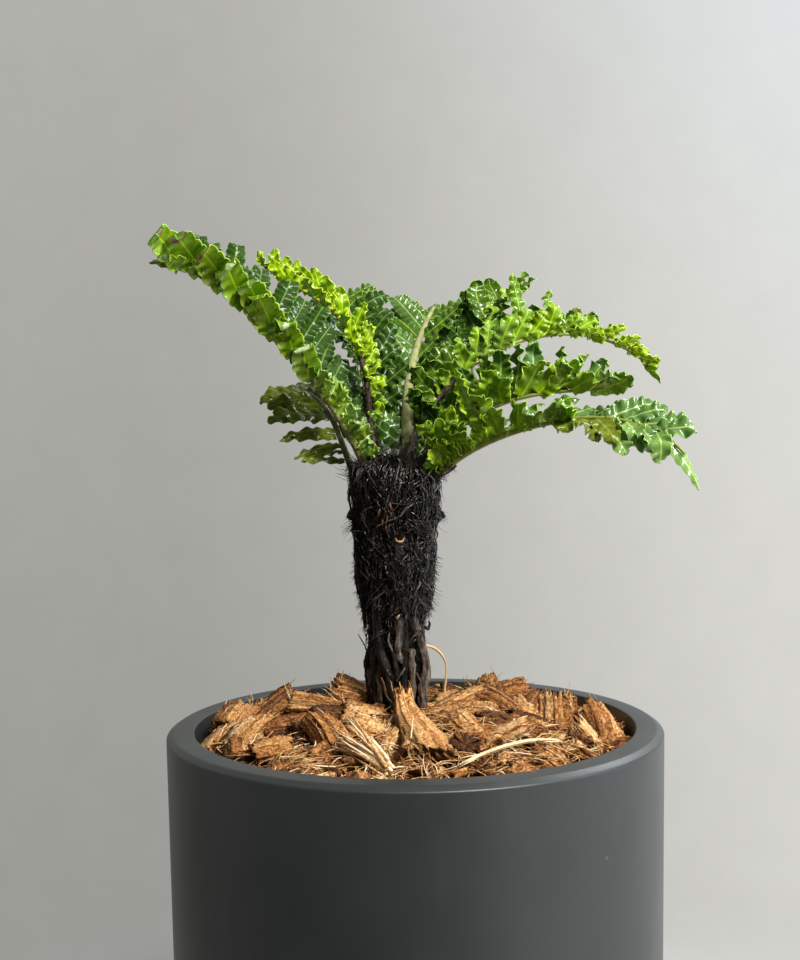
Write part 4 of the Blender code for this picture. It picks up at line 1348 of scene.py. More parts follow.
    def add_bristles(self) -> None:
        """Add the dark bristles that stand up between the fronds."""
        rng, count, steps = self.rng, self.bristles, 5
        lean = np.sqrt(rng.random(count))
        reach = self.bristle_reach * lean
        bearing = rng.uniform(0, math.tau, count)
        height = np.interp(reach, self.run_radii[:5], self.run_heights[:5]) - 0.6 * MM
        way = unit(polar(lean, bearing, 1.0) + rng.normal(0, 0.35, (count, 3)))
        length = rng.uniform(2.5, 8.5, count)[:, None] * MM
        bend = rng.normal(0, 0.3, (count, 3)) * length
        path = arcs(self.at(reach, bearing, height), way * length, bend, steps)
        radii = rng.uniform(0.1, 0.19, count)[:, None] * MM * (1 - 0.8 * np.linspace(0, 1, steps))
        self.draft.add_tubes(path, radii, 3, (0.3, 0.2, 0.1), rng.choice([0, 1], count, p=[0.6, 0.4]))


# The parts of a leaflet's skin, in the order of their finishes.
SKINS = ("upper", "underside", "margin", "midrib", "keel")
UPPER, UNDERSIDE, MARGIN, MIDRIB, KEEL = range(len(SKINS))


class Tint(Enum):
    """The greens that leaflets are dealt: upper face, underside, margin and midrib. DARK is a dark green
    deepened as painted shade for leaflets that lie in shade, and FRESH_GLOW and BRIGHT are paler greens
    that partly paint the glow of light through backlit leaflets.
    """

    DARK = ((0.024, 0.056, 0.006), (0.085, 0.15, 0.006), (0.095, 0.18, 0.02), (0.1, 0.185, 0.04))
    MID = ((0.056, 0.118, 0.006), (0.15, 0.26, 0.005), (0.23, 0.37, 0.03), (0.2, 0.32, 0.05))
    FRESH_GLOW = ((0.1, 0.2, 0.006), (0.185, 0.31, 0.004), (0.36, 0.49, 0.03), (0.3, 0.43, 0.045))
    BRIGHT = ((0.2, 0.34, 0.004), (0.27, 0.42, 0.003), (0.54, 0.66, 0.03), (0.48, 0.58, 0.04))
    OLIVE = ((0.116, 0.146, 0.012), (0.24, 0.3, 0.018), (0.195, 0.24, 0.03), (0.195, 0.24, 0.038))
    GLAUCOUS = ((0.086, 0.172, 0.038), (0.132, 0.216, 0.012), (0.26, 0.41, 0.09), (0.3, 0.43, 0.11))
    SILVER = ((0.15, 0.27, 0.058), (0.18, 0.29, 0.02), (0.38, 0.54, 0.13), (0.38, 0.52, 0.15))

    def finishes(self) -> list[Finish]:
        """The finishes of a blade in this green: its four tints and a paler rib underneath."""
        gloss = {Tint.DARK: 0.18, Tint.OLIVE: 0.14, Tint.SILVER: 0.55}.get(self, 0.44)
        glossy, matte = (0.86, 1.25, (0.15, 0.25), gloss), (0.86, 1.25, (0.22, 0.34), gloss)
        looks = (glossy, matte, glossy, matte, (1.8, 1.8 * 1.2, (0.4, 0.5), 0.35))
        made: list[Finish] = []
        for name, colour, look in zip(SKINS, (*self.value, self.value[UNDERSIDE]), looks):
            low, high, rough, shine = look
            first, second = (tuple(value * share for value in colour) for share in (low, high))
            made.append(LeafFinish(f"leaf_{self.name.lower()}_{name}", first, second, 240.0, rough,
                                   0.00005, shine))
        return made


SCORCHED = Finish("leaf_scorched", (0.075, 0.036, 0.014), (0.2, 0.105, 0.04), 600, (0.6, 0.8), 0.0002)
# A painted sheen: the pale, glossy colour laid on the rolled ends of leaflets stands in for their
# highlight.
ROLLED_TIP_SHEEN = LeafFinish("leaf_rolled_tip_sheen", (0.27, 0.37, 0.12), (0.5, 0.6, 0.34), 500, (0.16, 0.3),
                      0.00005, 0.55)


class RibTint(Enum):
    """The colours of a frond's rib above its brown foot."""

    OLIVE = ((0.125, 0.115, 0.022), (0.21, 0.195, 0.05))
    GREEN = ((0.16, 0.2, 0.026), (0.26, 0.3, 0.055))
    CREAM = ((0.24, 0.25, 0.085), (0.38, 0.39, 0.17))
    LIME = ((0.3, 0.36, 0.01), (0.48, 0.52, 0.03))

    def finish(self) -> Finish:
        """The finish of a rib of this colour."""
        return LeafFinish(f"rib_{self.name.lower()}", *self.value, 500.0, (0.38, 0.55), 0.0001)


@dataclass(frozen=True)
class Habit:
    """How leaflets carry themselves: their breadth and the length of a pleat in millimetres, the
    angle that each half rises at from the midrib, the bend of the whole leaflet and of its end
    towards its upper face, in degrees, the height of the pleats at the margin in millimetres, how
    deep the margin's lobes are, how unlike their neighbours leaflets are, how much they narrow
    towards their ends, where along them the end's bend starts, how much the pleats keep to the
    margin, and how much of the rolled end is painted pale as a painted sheen."""

    breadth: float
    pleat: float
    keel: float
    curl: float
    roll: float
    crisp: float
    lobes: float
    wild: float
    point: float = 0.22
    rolled: float = 0.7
    hem: float = 1.0
    tip_sheen: float = 0.0


PLAIN = Habit(6.4, 2.9, 14, -12, -30, 0.8, 0.06, 1)
OPEN = Habit(6.6, 3, 16, -10, -35, 0.75, 0.07, 1.3)
UPRIGHT = Habit(6.6, 2.5, 14, -8, -70, 0.6, 0.05, 1, 0.1, 0.78)
SHINGLED = Habit(8.8, 3.6, 10, -4, -230, 0.58, 0.08, 1.2, 0.26, 0.79, 1.7, 0.32)
CRINKLED = Habit(7.4, 3.2, 28, 4, 60, 1, 0.05, 2.1, 0.28, 0.66, 1.5)
POINTED = Habit(6.2, 2.8, 22, 2, 50, 0.86, 0.06, 1.6, 0.42, 0.66, 1.9)
BUTTON = Habit(6, 2.7, 18, -20, -60, 0.75, 0.06, 2, 0.1, 0.7, 1.4)
SHELL = Habit(7.4, 3.5, 22, -10, -80, 0.9, 0.05, 1.9, 0.26, 0.68, 1.2)
BROAD = Habit(7.8, 3.2, 16, -18, -60, 0.92, 0.07, 1.7, 0.2, 0.68, 1)
FACING = Habit(6.6, 3.2, 8, -14, -50, 0.6, 0.05, 1.4, 0.35)
SLATTED = Habit(3.5, 5, 4, -14, -15, 0.55, 0.06, 1, 0.4)
SLEEVE = Habit(6.6, 4.4, 10, -10, -20, 0.6, 0.08, 1.2, 0.35)
STRAY = Habit(5, 2.7, 14, -4, 16, 0.62, 0.07, 0.6, 0.4, 0.8, 1.3)
TIP = Habit(5, 4, 10, -14, -20, 0.25, 0.04, 0.5, 0.6)

# The greens of a row at its start, middle and end. SHADED and SHADED_TO_MID are painted shade for rows that
# lie in shade, and SUNNY paints the glow of backlit leaflets.
SHADED = (Tint.DARK, Tint.DARK, Tint.DARK)
SHADED_TO_MID = (Tint.DARK, Tint.DARK, Tint.MID)
EVEN = (Tint.MID, Tint.MID, Tint.MID)
CLEAR = (Tint.FRESH_GLOW, Tint.FRESH_GLOW, Tint.FRESH_GLOW)
RISING = (Tint.MID, Tint.MID, Tint.FRESH_GLOW)
LIVELY = (Tint.MID, Tint.FRESH_GLOW, Tint.MID)
SUNNY = (Tint.BRIGHT, Tint.BRIGHT, Tint.BRIGHT)
DRAB = (Tint.OLIVE, Tint.OLIVE, Tint.OLIVE)


@dataclass(frozen=True)
class Row:
    """One row of leaflets, on the left of the rib (1) or on the right (-1), over a span of it.
    Each angle is given at the row's start, middle and end: the folds lift the row above the
    frond's own plane, the sweeps lean it towards the tip, and the louvres turn each leaflet about
    its midrib. The lengths are in millimetres at the same places, and the pitch is the distance
    from one leaflet to the next."""

    side: int
    span: Span
    pitch: float
    folds: Triple
    sweeps: Triple
    louvres: Triple
    lengths: Triple
    habit: Habit
    tints: tuple[Tint, Tint, Tint]


@dataclass(frozen=True)
class Frond:
    """One frond: its foot beside the trunk's axis, how its rib runs, its rows and its colours. The
    scaly share is how much of its rib is dark and hairy, the scorched share how many of the
    leaflets near its tip have brown ends, and the tip is the last lobe's length and breadth in
    millimetres and its turn."""

    name: str
    foot: Triple
    heading: Span
    lifts: tuple[float, float, float, float]
    length: float
    tip: Triple
    rows: tuple[Row, ...]
    rib: RibTint
    scaly: float
    stout: float = 1.0
    scorched: float = 0.08


def flat(value: float) -> Triple:
    """One value for a row's start, middle and end."""
    return (value, value, value)


FRONDS = (
    Frond("frond_left_high", (-8, -3, 215.5), (198, 213), (71, 53, 40, -5), 94, (8, 5, 40), (
        Row(1, (0.33, 0.95), 7.4, (14, 12, 20), (54, 58, 50), (-42, -48, -48), (15, 19, 17), SHINGLED,
            LIVELY),
        Row(1, (0.32, 0.92), 5.6, (2, -6, -8), (56, 60, 60), flat(-64), (10, 11, 10), OPEN, SHADED_TO_MID),
        Row(-1, (0.1, 0.88), 5.4, (62, 66, 66), (18, 18, 24), flat(-12), (17, 22, 12), UPRIGHT, SHADED),
        Row(-1, (0, 0.38), 2.9, (88, 84, 60), (4, 14, 40), (20, 10, 0), (7, 9, 10), BUTTON,
            (Tint.SILVER, Tint.SILVER, Tint.FRESH_GLOW)),
        Row(1, (0.01, 0.34), 3.2, (76, 60, 50), (10, 24, 50), (-10, -20, -30), (6, 8, 8), BUTTON,
            (Tint.GLAUCOUS, Tint.SILVER, Tint.FRESH_GLOW)),
    ), RibTint.OLIVE, 0.06, 0.9, 0.75),
    Frond("frond_left_bright", (-5, 1.5, 219), (158, 140), (69, 76, 32, 57), 90, (7, 4.4, 0), (
        Row(1, (0.4, 0.93), 5.6, (55, 50, 45), (50, 56, 50), flat(-24), (7, 10, 8), POINTED, SUNNY),
        Row(-1, (0.38, 0.93), 5.4, (70, 64, 56), (44, 48, 44), flat(0), (10, 12, 9), POINTED, SUNNY),
        Row(-1, (0.12, 0.44), 3.1, (84, 80, 70), (20, 26, 34), (10, 0, 0), (5, 6, 8), BUTTON,
            (Tint.FRESH_GLOW, Tint.BRIGHT, Tint.BRIGHT)),
        Row(1, (0.26, 0.42), 6, flat(75), flat(40), flat(-30), (3, 5, 6), BUTTON, SUNNY),
    ), RibTint.LIME, 0.46, 0.95, 0.12),
    Frond("frond_back", (4.6, 6.5, 218), (97, 62), (78, 50, 43, 38), 78, (7, 5, 0), (
        Row(1, (0.08, 0.91), 5.3, (16, 14, 12), (36, 42, 42), flat(8), (11, 22, 22), PLAIN,
            (Tint.DARK, Tint.GLAUCOUS, Tint.MID)),
        Row(-1, (0.08, 0.91), 5.3, (20, 18, 15), (36, 40, 44), flat(8), (9, 18, 18), PLAIN, SHADED_TO_MID),
    ), RibTint.CREAM, 0.07, 1.7),
    Frond("frond_back_right", (8, 8.5, 215.5), (44, 50), (68, 54, 51, 25), 86, (7, 6, 30), (
        Row(1, (0.12, 0.92), 5.4, (38, 30, 24), flat(38), flat(12), (13, 18, 13), CRINKLED, SHADED_TO_MID),
        Row(-1, (0.12, 0.92), 4.8, (42, 26, 8), (36, 36, 30), flat(12), (13, 16, 11), CRINKLED, EVEN),
    ), RibTint.GREEN, 0.16),
    Frond("frond_right_arching", (3.5, 1.5, 219.6), (14, 16), (76, 36, 0, -52), 109, (8, 3.2, 20), (
        Row(1, (0.12, 0.9), 5.6, (50, 54, 50), flat(32), flat(2), (11, 14, 6), CRINKLED, RISING),
        Row(-1, (0.28, 0.6), 4.7, (60, 56, 52), (30, 36, 42), flat(-12), (11, 13, 12), CRINKLED, RISING),
        Row(-1, (0.6, 0.93), 5.2, (52, 46, 42), (46, 54, 50), flat(-14), (11, 10, 6), POINTED,
            (Tint.FRESH_GLOW, Tint.BRIGHT, Tint.BRIGHT)),
        Row(-1, (0.17, 0.34), 3.4, (76, 70, 64), (8, 12, 20), flat(-6), (7, 8, 10), BUTTON, EVEN),
        Row(-1, (0.5, 0.97), 7, (20, 10, 0), (52, 58, 50), flat(-40), (5, 6, 4), POINTED,
            (Tint.FRESH_GLOW, Tint.FRESH_GLOW, Tint.BRIGHT)),
        Row(1, (0.53, 0.53), 6.3, flat(88), flat(4), flat(0), flat(22), STRAY, CLEAR),
        Row(1, (0.64, 0.64), 6.3, flat(86), flat(6), flat(0), flat(14), POINTED, CLEAR),
    ), RibTint.GREEN, 0.34, 0.9, 0.4),
    Frond("frond_right_middle", (6.5, -3.5, 218), (-4, -13), (43, 31, 6, 10), 69, (10, 6.4, 35), (
        Row(1, (0.1, 0.88), 5.6, (72, 68, 62), (22, 20, 36), flat(20), (14, 19, 12), CRINKLED,
            (Tint.DARK, Tint.MID, Tint.GLAUCOUS)),
        Row(-1, (0.1, 0.52), 4.8, (66, 62, 58), (18, 24, 34), (8, 0, -10), (11, 12, 13), SHELL,
            (Tint.FRESH_GLOW, Tint.MID, Tint.FRESH_GLOW)),
        Row(-1, (0.52, 0.96), 5, (60, 56, 48), (34, 46, 58), (10, -4, -14), (14, 14, 11), SHELL,
            (Tint.FRESH_GLOW, Tint.FRESH_GLOW, Tint.MID)),
    ), RibTint.GREEN, 0.22, 0.9, 0.1),
    Frond("frond_right_low", (11.5, -4.5, 213.5), (-35, -32), (45, 15, -7, -73), 94, (15, 4, -28), (
        Row(1, (0.06, 0.56), 5.2, (60, 40, 38), (26, 40, 50), (10, 2, 4), (12, 17, 14), FACING,
            (Tint.MID, Tint.MID, Tint.GLAUCOUS)),
        Row(1, (0.57, 0.84), 4.9, (40, 50, 58), (46, 54, 58), (0, 4, 10), (14, 14, 11), BROAD,
            (Tint.DARK, Tint.GLAUCOUS, Tint.GLAUCOUS)),
        Row(-1, (0.06, 0.32), 4, (80, 74, 56), (8, 16, 24), flat(-8), (10, 15, 14), SHELL, EVEN),
        Row(-1, (-0.02, 0.2), 3.2, flat(60), (8, 12, 16), flat(-14), (5, 8, 8), BUTTON, LIVELY),
        Row(-1, (0.24, 0.24), 6.3, flat(84), flat(4), flat(-4), flat(23), STRAY, RISING),
        Row(-1, (0.34, 0.54), 4.8, (66, 46, 10), (24, 34, 44), flat(-8), (10, 10, 11), SHELL,
            (Tint.FRESH_GLOW, Tint.GLAUCOUS, Tint.FRESH_GLOW)),
        Row(-1, (0.5, 0.84), 4.9, (-10, -44, -60), (34, 50, 60), (-12, -2, 6), (10, 12, 9), BROAD,
            (Tint.OLIVE, Tint.GLAUCOUS, Tint.SILVER)),
    ), RibTint.GREEN, 0.08, 1, 0.05),
    Frond("frond_left_low", (-11, 4.5, 213.5), (125, 130), (40, 55, 24, 8), 59, (7, 4, 0), (
        Row(1, (0.14, 0.39), 3.1, (2, -2, -4), flat(2), (-14, -10, -6), (14, 17, 19), SLATTED, DRAB),
        Row(1, (0.44, 0.92), 3.5, (-8, -10, -8), (4, 4, 10), (-2, 26, 34), (18, 16, 7), SLEEVE, DRAB),
        Row(-1, (0.3, 0.92), 4.6, (15, 10, 8), flat(15), (-20, 0, 10), (12, 14, 11), SLEEVE, DRAB),
    ), RibTint.OLIVE, 0.12),
    Frond("frond_back_low", (1.5, 11.8, 213), (98, 84), (38, 24, 8, -22), 66, (7, 5, 0), (
        Row(1, (0.12, 0.9), 5.8, (14, 10, 8), flat(30), flat(8), (11, 17, 11), PLAIN, EVEN),
        Row(-1, (0.12, 0.9), 5.8, (16, 12, 8), flat(30), flat(8), (11, 17, 11), PLAIN, LIVELY),
    ), RibTint.GREEN, 0.15),
    Frond("frond_back_left", (-4.5, 8.5, 216.5), (128, 99), (66, 74, 50, 18), 78, (7, 5, 0), (
        Row(1, (0.16, 0.92), 5.6, (28, 25, 22), flat(36), flat(10), (11, 17, 13), OPEN, SHADED_TO_MID),
        Row(-1, (0.16, 0.92), 5.6, (30, 26, 22), flat(36), flat(10), (11, 17, 13), OPEN, SHADED_TO_MID),
    ), RibTint.GREEN, 0.18),
)


class Rib:
    """A frond's rib: a curve stepped from its foot, with the frame at each of its places."""

    steps: int = 96

    def __init__(self, frond: Frond, trunk: Trunk) -> None:
        """Step the curve out from the frond's foot beside the trunk's axis.

        Args:
            frond: The frond.
            trunk: The trunk that it grows on.
        """
        self.frond = frond
        self.length = frond.length * MM
        start = np.array(frond.foot) * MM
        start[0] += trunk.axis_x(start[2])
        along, _ = self.ways((np.arange(self.steps) + 0.5) / self.steps)
        travelled = np.cumsum(along * self.length / self.steps, axis=0)
        self.points = np.vstack([start, start + travelled])

    def ways(self, share: np.ndarray) -> tuple[np.ndarray, np.ndarray]:
        """The ways along the rib and level to its left, at shares of its length."""
        lift = np.radians(blend(self.frond.lifts, share))
        first, last = self.frond.heading
        turn = np.radians(first + (last - first) * share)
        return polar(np.cos(lift), turn, np.sin(lift)), polar(1.0, turn + math.pi / 2, 0.0)

    def place(self, share: Any) -> tuple[np.ndarray, np.ndarray, np.ndarray, np.ndarray]:
        """The points at shares of the length, with the ways along, to the left and up there."""
        share = np.asarray(share, float)
        along, left = self.ways(share)
        point = read(share, np.linspace(0, 1, self.steps + 1), self.points)
        return point, along, left, np.cross(along, left)

    def half_width(self, share: Any) -> Any:
        """Half the rib's width at shares of its length."""
        return (1.35 - 0.95 * share) * MM * self.frond.stout


@dataclass(frozen=True)
class Leaf:
    """A leaflet to be made: where its midrib starts and which way, the way across it and the way
    that its upper face looks, its length and breadth in metres, how it carries itself, the number
    of its green, and the share of it, from its end, that is brown."""

    root: np.ndarray
    reach: np.ndarray
    across: np.ndarray
    normal: np.ndarray
    length: float
    breadth: float
    habit: Habit
    tint: int
    scorched: float = 0.0


# The places of a blade's columns of points, from margin to margin.
COLUMNS = np.array([-1.0, -0.93, -0.74, -0.5, -0.27, -0.07, 0.07, 0.27, 0.5, 0.74, 0.93, 1.0])


@dataclass
class FrondMaker:
    """One frond being made: a blade of pleated leaflets, and a rib with its foot and its scales."""

    frond: Frond
    trunk: Trunk
    rng: np.random.Generator
    thickness: float = 0.3 * MM
    step: float = 0.4 * MM
    least_length: float = 3.0
    trunk_gap: float = 1.5 * MM
    trunk_top: float = 220 * MM
    rib_sides: int = 12
    rib_rings: int = 90
    rib_depth: float = 0.86
    foot_radius: float = 2.9 * MM
    foot_depth: float = 15 * MM
    foot_sunk: float = 2.6 * MM
    foot_bend: float = 7 * MM

    def __post_init__(self) -> None:
        """Step out the rib, and list the greens that the frond uses."""
        self.rib = Rib(self.frond, self.trunk)
        self.tints = list(dict.fromkeys(tint for row in self.frond.rows for tint in row.tints))
        self.draft = Draft()

    def build(self) -> None:
        """Make the frond's two pieces."""
        self.add_leaflets()
        finishes = [finish for tint in self.tints for finish in tint.finishes()]
        self.draft.piece(self.frond.name + "_blade", [*finishes, SCORCHED, ROLLED_TIP_SHEEN],
                         "foliage_bright" if Tint.BRIGHT in self.tints else "foliage",
                         [self.frond.name])
        self.add_rib()
        self.add_scales()
        self.draft.piece(self.frond.name + "_rib",
                         [STIPE_BROWN, self.frond.rib.finish(), HAIR_BLACK, HAIR_BROWN], "foliage")

    def add_leaflets(self) -> None:
        """Add the leaflets of every row, and the lobe that ends the frond."""
        for row in self.frond.rows:
            first, last = row.span
            count = max(1, round((last - first) * self.frond.length / row.pitch))
            for index in range(count):
                along = (index + 0.5 + self.rng.normal(0, 0.06)) / count
                shade = np.clip(round(along * 2 + self.rng.normal(0, 0.45)), 0, 2)
                self.add_leaflet(first + (last - first) * along, row, along,
                                 self.tints.index(row.tints[shade]))
        self.add_terminal()

    def add_leaflet(self, share: float, row: Row, along: float, tint: int) -> None:
        """Add one leaflet beside the rib, shortened until it clears the trunk.

        Args:
            share: Where on the rib it grows.
            row: Its row.
            along: How far along the row it is.
            tint: The number of its green.
        """
        rng, habit = self.rng, row.habit
        point, ahead, left, up = self.rib.place(share)
        fold, sweep, louvre = (math.radians(blend(values, along) + rng.normal(0, stray) * habit.wild)
                               for values, stray in ((row.folds, 6), (row.sweeps, 5), (row.louvres, 9)))
        half, normal = turned(left * row.side, up, fold)
        reach, across = turned(half, ahead, sweep)
        across, normal = turned(across, normal, louvre)
        length = max(blend(row.lengths, along), self.least_length) * MM * rng.uniform(0.9, 1.1)
        breadth = habit.breadth * MM * min(1.0, 0.45 + length / (32 * MM)) * rng.uniform(0.88, 1.1)
        wide = self.rib.half_width(share)
        sunk = 0.25 + 0.6 * (self.frond.stout - 1)
        root = point + left * row.side * wide * 0.8 - up * wide * sunk
        for _ in range(6):
            if self.meets_trunk(root, reach, length):
                length *= 0.85
        brown = self.frond.scorched * smooth_step(0.5, 0.95, np.array(share))
        brown = rng.uniform(0.03, 0.11) * (rng.random() < brown)
        self.add_blade(Leaf(root, reach, across * row.side, normal, length, breadth, habit, tint, brown))

    def meets_trunk(self, root: np.ndarray, reach: np.ndarray, length: float) -> bool:
        """Whether a leaflet's midrib would pass through the trunk."""
        points = root + np.linspace(0.3, 1, 6)[:, None] * reach * length
        out = np.hypot(points[:, 0] - self.trunk.axis_x(points[:, 2]), points[:, 1])
        inside = out < self.trunk.radius(points[:, 2]) + self.trunk_gap
        return bool(np.any(inside & (points[:, 2] < self.trunk_top)))

    def add_terminal(self) -> None:
        """Add the small lobe that ends the frond."""
        length, breadth, turn = self.frond.tip
        point, _, _, up = self.rib.place(1 - length * MM / self.rib.length)
        reach = unit(self.rib.place(1.0)[0] - point)
        across = unit(np.cross(reach, up))
        across, normal = turned(across, np.cross(across, reach), math.radians(turn))
        tint = self.tints.index(self.frond.rows[-1].tints[2])
        self.add_blade(Leaf(point, reach, across, normal, length * 1.15 * MM, breadth * MM, TIP, tint))

    def add_blade(self, leaf: Leaf) -> None:
        """Add a pleated blade: two thin skins with a pale margin and midrib.

        Args:
            leaf: The leaflet.
        """
        rng, habit, length, wild = self.rng, leaf.habit, leaf.length, leaf.habit.wild
        steps = max(14, int(length / self.step))
        u = np.linspace(0, 1, steps)[:, None]
        v = COLUMNS[None, :]
        bend = np.radians(habit.curl + rng.normal(0, 7) * wild) * u ** 1.4
        bend = bend + np.radians(habit.roll * rng.uniform(0.3, 1.4)) * smooth_step(habit.rolled, 1.0, u)
        tangent, above = turned(leaf.reach, leaf.normal, bend)
        centre = leaf.root + np.cumsum(tangent, axis=0) * length / steps
        sway = np.sin(u * rng.uniform(2, 4)) * rng.normal(0, 0.35) * wild * MM
        twist = np.radians(rng.normal(0, 9) * wild) * u
        twist = twist + rng.normal(0, 0.12) * wild * np.sin(u * rng.uniform(3, 7))
        aside, above = turned(leaf.across, above, twist)
        half = leaf.breadth / 2 * self.outline(u, habit.point)
        spread = np.abs(v)
        pitch = habit.pleat * MM * rng.uniform(0.88, 1.12)
        offsets = np.where(v < 0, rng.uniform(0, math.tau), rng.uniform(0, math.tau))
        beat = math.tau * (u * length - 0.45 * spread * half) / pitch + offsets
        beat = beat + 0.62 * wild * np.sin(beat * 0.37 + rng.uniform(0, 6))
        swing = np.cos(beat) + 0.3 * wild * np.cos(beat * 0.53 + rng.uniform(0, 6))
        body = smooth_step(0.0, 0.16, u) * (1 - 0.35 * smooth_step(0.85, 1.0, u))
        keel = half * spread * math.tan(math.radians(habit.keel + rng.normal(0, 4)))
        pleats = habit.crisp * MM * swing * spread ** habit.hem * body
        slow = np.sin(u * length * math.tau / (rng.uniform(6, 9) * MM) + offsets)
        waves = 0.32 * wild * MM * slow * spread * body
        lift = keel - 0.3 * half * spread ** 2 + pleats + waves + 0.12 * MM * (spread < 0.1)
        pull = 1 + habit.lobes * np.cos(beat + 1.3) * spread ** 2 * body
        # The rolled end is painted pale: a painted sheen.
        pale = 0.0 if leaf.scorched else habit.tip_sheen * (0.5 + 0.5 * math.sin(offsets[0, 0] * 3))
        self.add_skins(beside(centre + aside * sway, aside, above, v * half * pull, lift), leaf, pale)

    def outline(self, u: np.ndarray, point: float) -> np.ndarray:
        """The share of a blade's half width at shares of its length.

        Args:
            u: The shares of its length.
            point: How much it narrows towards its end.

        Returns:
            The share of the half width at each.
        """
        neck = 0.76 + 0.24 * smooth_step(0.0, 0.3, u)
        taper = 1 - point * smooth_step(0.35, 1.0, u)
        end = np.clip((u - 0.74) / 0.26, 0, 1)
        return neck * taper * np.sqrt(np.maximum(1 - end ** 2.4, 0.004))

    def add_skins(self, middle: np.ndarray, leaf: Leaf, tip_sheen: float) -> None:
        """Add the two skins of a blade and the edge between them.

        Args:
            middle: The points of the surface halfway between them.
            leaf: The leaflet.
            tip_sheen: The share of it, from its end, that is painted pale, a painted sheen.
        """
        rows, columns, _ = middle.shape
        normal = unit(np.cross(np.gradient(middle, axis=1), np.gradient(middle, axis=0)))
        spread = np.abs(COLUMNS)
        half = self.thickness / 2 * (1 - 0.45 * spread)[:, None]
        first = self.draft.add_points(middle + normal * half)
        second = self.draft.add_points(middle - normal * half)
        u = np.linspace(0, 1, rows)[:-1, None]
        ragged = 1 + 0.9 * np.sin(4.2 * COLUMNS[:-1] + 120 * leaf.scorched)
        brown = u > 1 - leaf.scorched * ragged
        # The painted sheen: a pale band at the rolled end, after the scorched finish in the list.
        pale = u > 1 - tip_sheen * (1.3 - spread[:-1])
        inside = spread[:-1] + spread[1:]
        faces = grid_faces(rows, columns)
        green, scorch_and_sheen = len(SKINS) * leaf.tint, len(SKINS) * len(self.tints)
        for start, way, face, vein in ((first, 1, UPPER, MIDRIB), (second, -1, UNDERSIDE, KEEL)):
            kinds = green + np.where(inside > 1.85, MARGIN, np.where(inside < 0.2, vein, face))
            kinds = np.where(pale, scorch_and_sheen + 1, np.where(brown, scorch_and_sheen, kinds))
            self.draft.add_faces(start + faces[..., ::way], kinds)
        edge = np.concatenate([np.arange(columns), np.arange(1, rows) * columns + columns - 1,
                               np.arange(columns - 2, -1, -1) + (rows - 1) * columns,
                               np.arange(rows - 2, 0, -1) * columns])
        after = np.roll(edge, -1)
        self.draft.add_faces(np.stack([second + edge, second + after, first + after, first + edge], -1),
                             green + MARGIN)

    def add_rib(self) -> None:
        """Add the rib and its swollen foot in the trunk."""
        share = np.linspace(0, 1 - 0.5 * self.frond.tip[0] * MM / self.rib.length, self.rib_rings)
        point, _, left, _ = self.rib.place(share)
        foot = self.foot_path()
        path = np.concatenate([foot, point])
        wide = self.rib.half_width(share)
        swollen = np.linspace(self.foot_radius, wide[0], len(foot)) * self.frond.stout ** 0.5
        knots = 1 + self.rng.normal(0, 0.025, (len(path), self.rib_sides))
        side, above = frame_along(path, np.concatenate([np.repeat(left[:1], len(foot), axis=0), left]))
        angles = round_angles(self.rib_sides)
        reach = np.concatenate([swollen, wide])[:, None] * knots
        where = np.concatenate([np.full(len(foot), -0.1), share])[:-1, None]
        brown = where + self.rng.normal(0, 0.035, (len(path) - 1, self.rib_sides)) < self.frond.scaly
        rings = beside(path, side, above, np.cos(angles) * reach, np.sin(angles) * reach * self.rib_depth)
        self.draft.add_skins(rings[None], np.where(brown, 0, 1).ravel(), (0, 1))

    def foot_path(self) -> np.ndarray:
        """The way up from inside the trunk to the rib's own start."""
        start, along, _, _ = self.rib.place(0.0)
        height = start[2] - self.foot_depth
        bearing = math.atan2(start[1], start[0] - self.trunk.axis_x(start[2]))
        low = self.trunk.at(self.trunk.radius(height) - self.foot_sunk, bearing, height)
        share = np.linspace(0, 1, 9)[:-1, None]
        return drawn_aside(low, start - along * self.foot_bend, start, share)

    def add_scales(self) -> None:
        """Add the dark hairs on the foot of the frond."""
        rng, steps = self.rng, 4
        count = int(90 + 900 * self.frond.scaly)
        share = rng.random(count) ** 1.3 * self.frond.scaly * 1.15
        point, along, left, up = self.rib.place(share)
        spoke, _ = turned(left, up, rng.uniform(0, math.tau, count)[:, None])
        start = point + spoke * self.rib.half_width(share)[:, None] * 0.85
        length = rng.uniform(0.8, 2.6, count)[:, None] * MM
        droop = rng.uniform(-1.0, 0.6, count)[:, None]
        way = unit(spoke * 0.8 + along * droop + rng.normal(0, 0.3, (count, 3)))
        path = arcs(start, way * length, -0.35 * UP * length, steps)
        radii = rng.uniform(0.08, 0.16, count)[:, None] * MM * (1 - 0.7 * np.linspace(0, 1, steps))
        kinds = 2 + (rng.random(count) < 0.5).astype(int)
        self.draft.add_tubes(path, radii, 3, along[:, None, :], kinds)


@dataclass
class Crown:
    """The fronds, each made in turn from one line of chance."""

    trunk: Trunk
    seed: int = 41

    def build(self) -> None:
        """Make every frond's blade and rib."""
        rng = np.random.default_rng(self.seed)
        for frond in FRONDS:
            FrondMaker(frond, self.trunk, rng).build()


FLOOR = FloorFinish("pale_floor", (0.42, 0.42, 0.41), (0.45, 0.45, 0.44), 60, (0.6, 0.75), 0.00005)
# The lamps: name, place, size, power and colour.
LAMPS = (
    ("key", (0.46, -0.62, 0.96), 0.32, 21, (1, 0.985, 0.955)),
    ("window", (0.95, -0.15, 0.45), 0.5, 3.5, (0.95, 0.98, 1)),
    ("sky", (0.62, 0.54, 0.88), 0.34, 4.6, (0.93, 0.98, 1)),
)


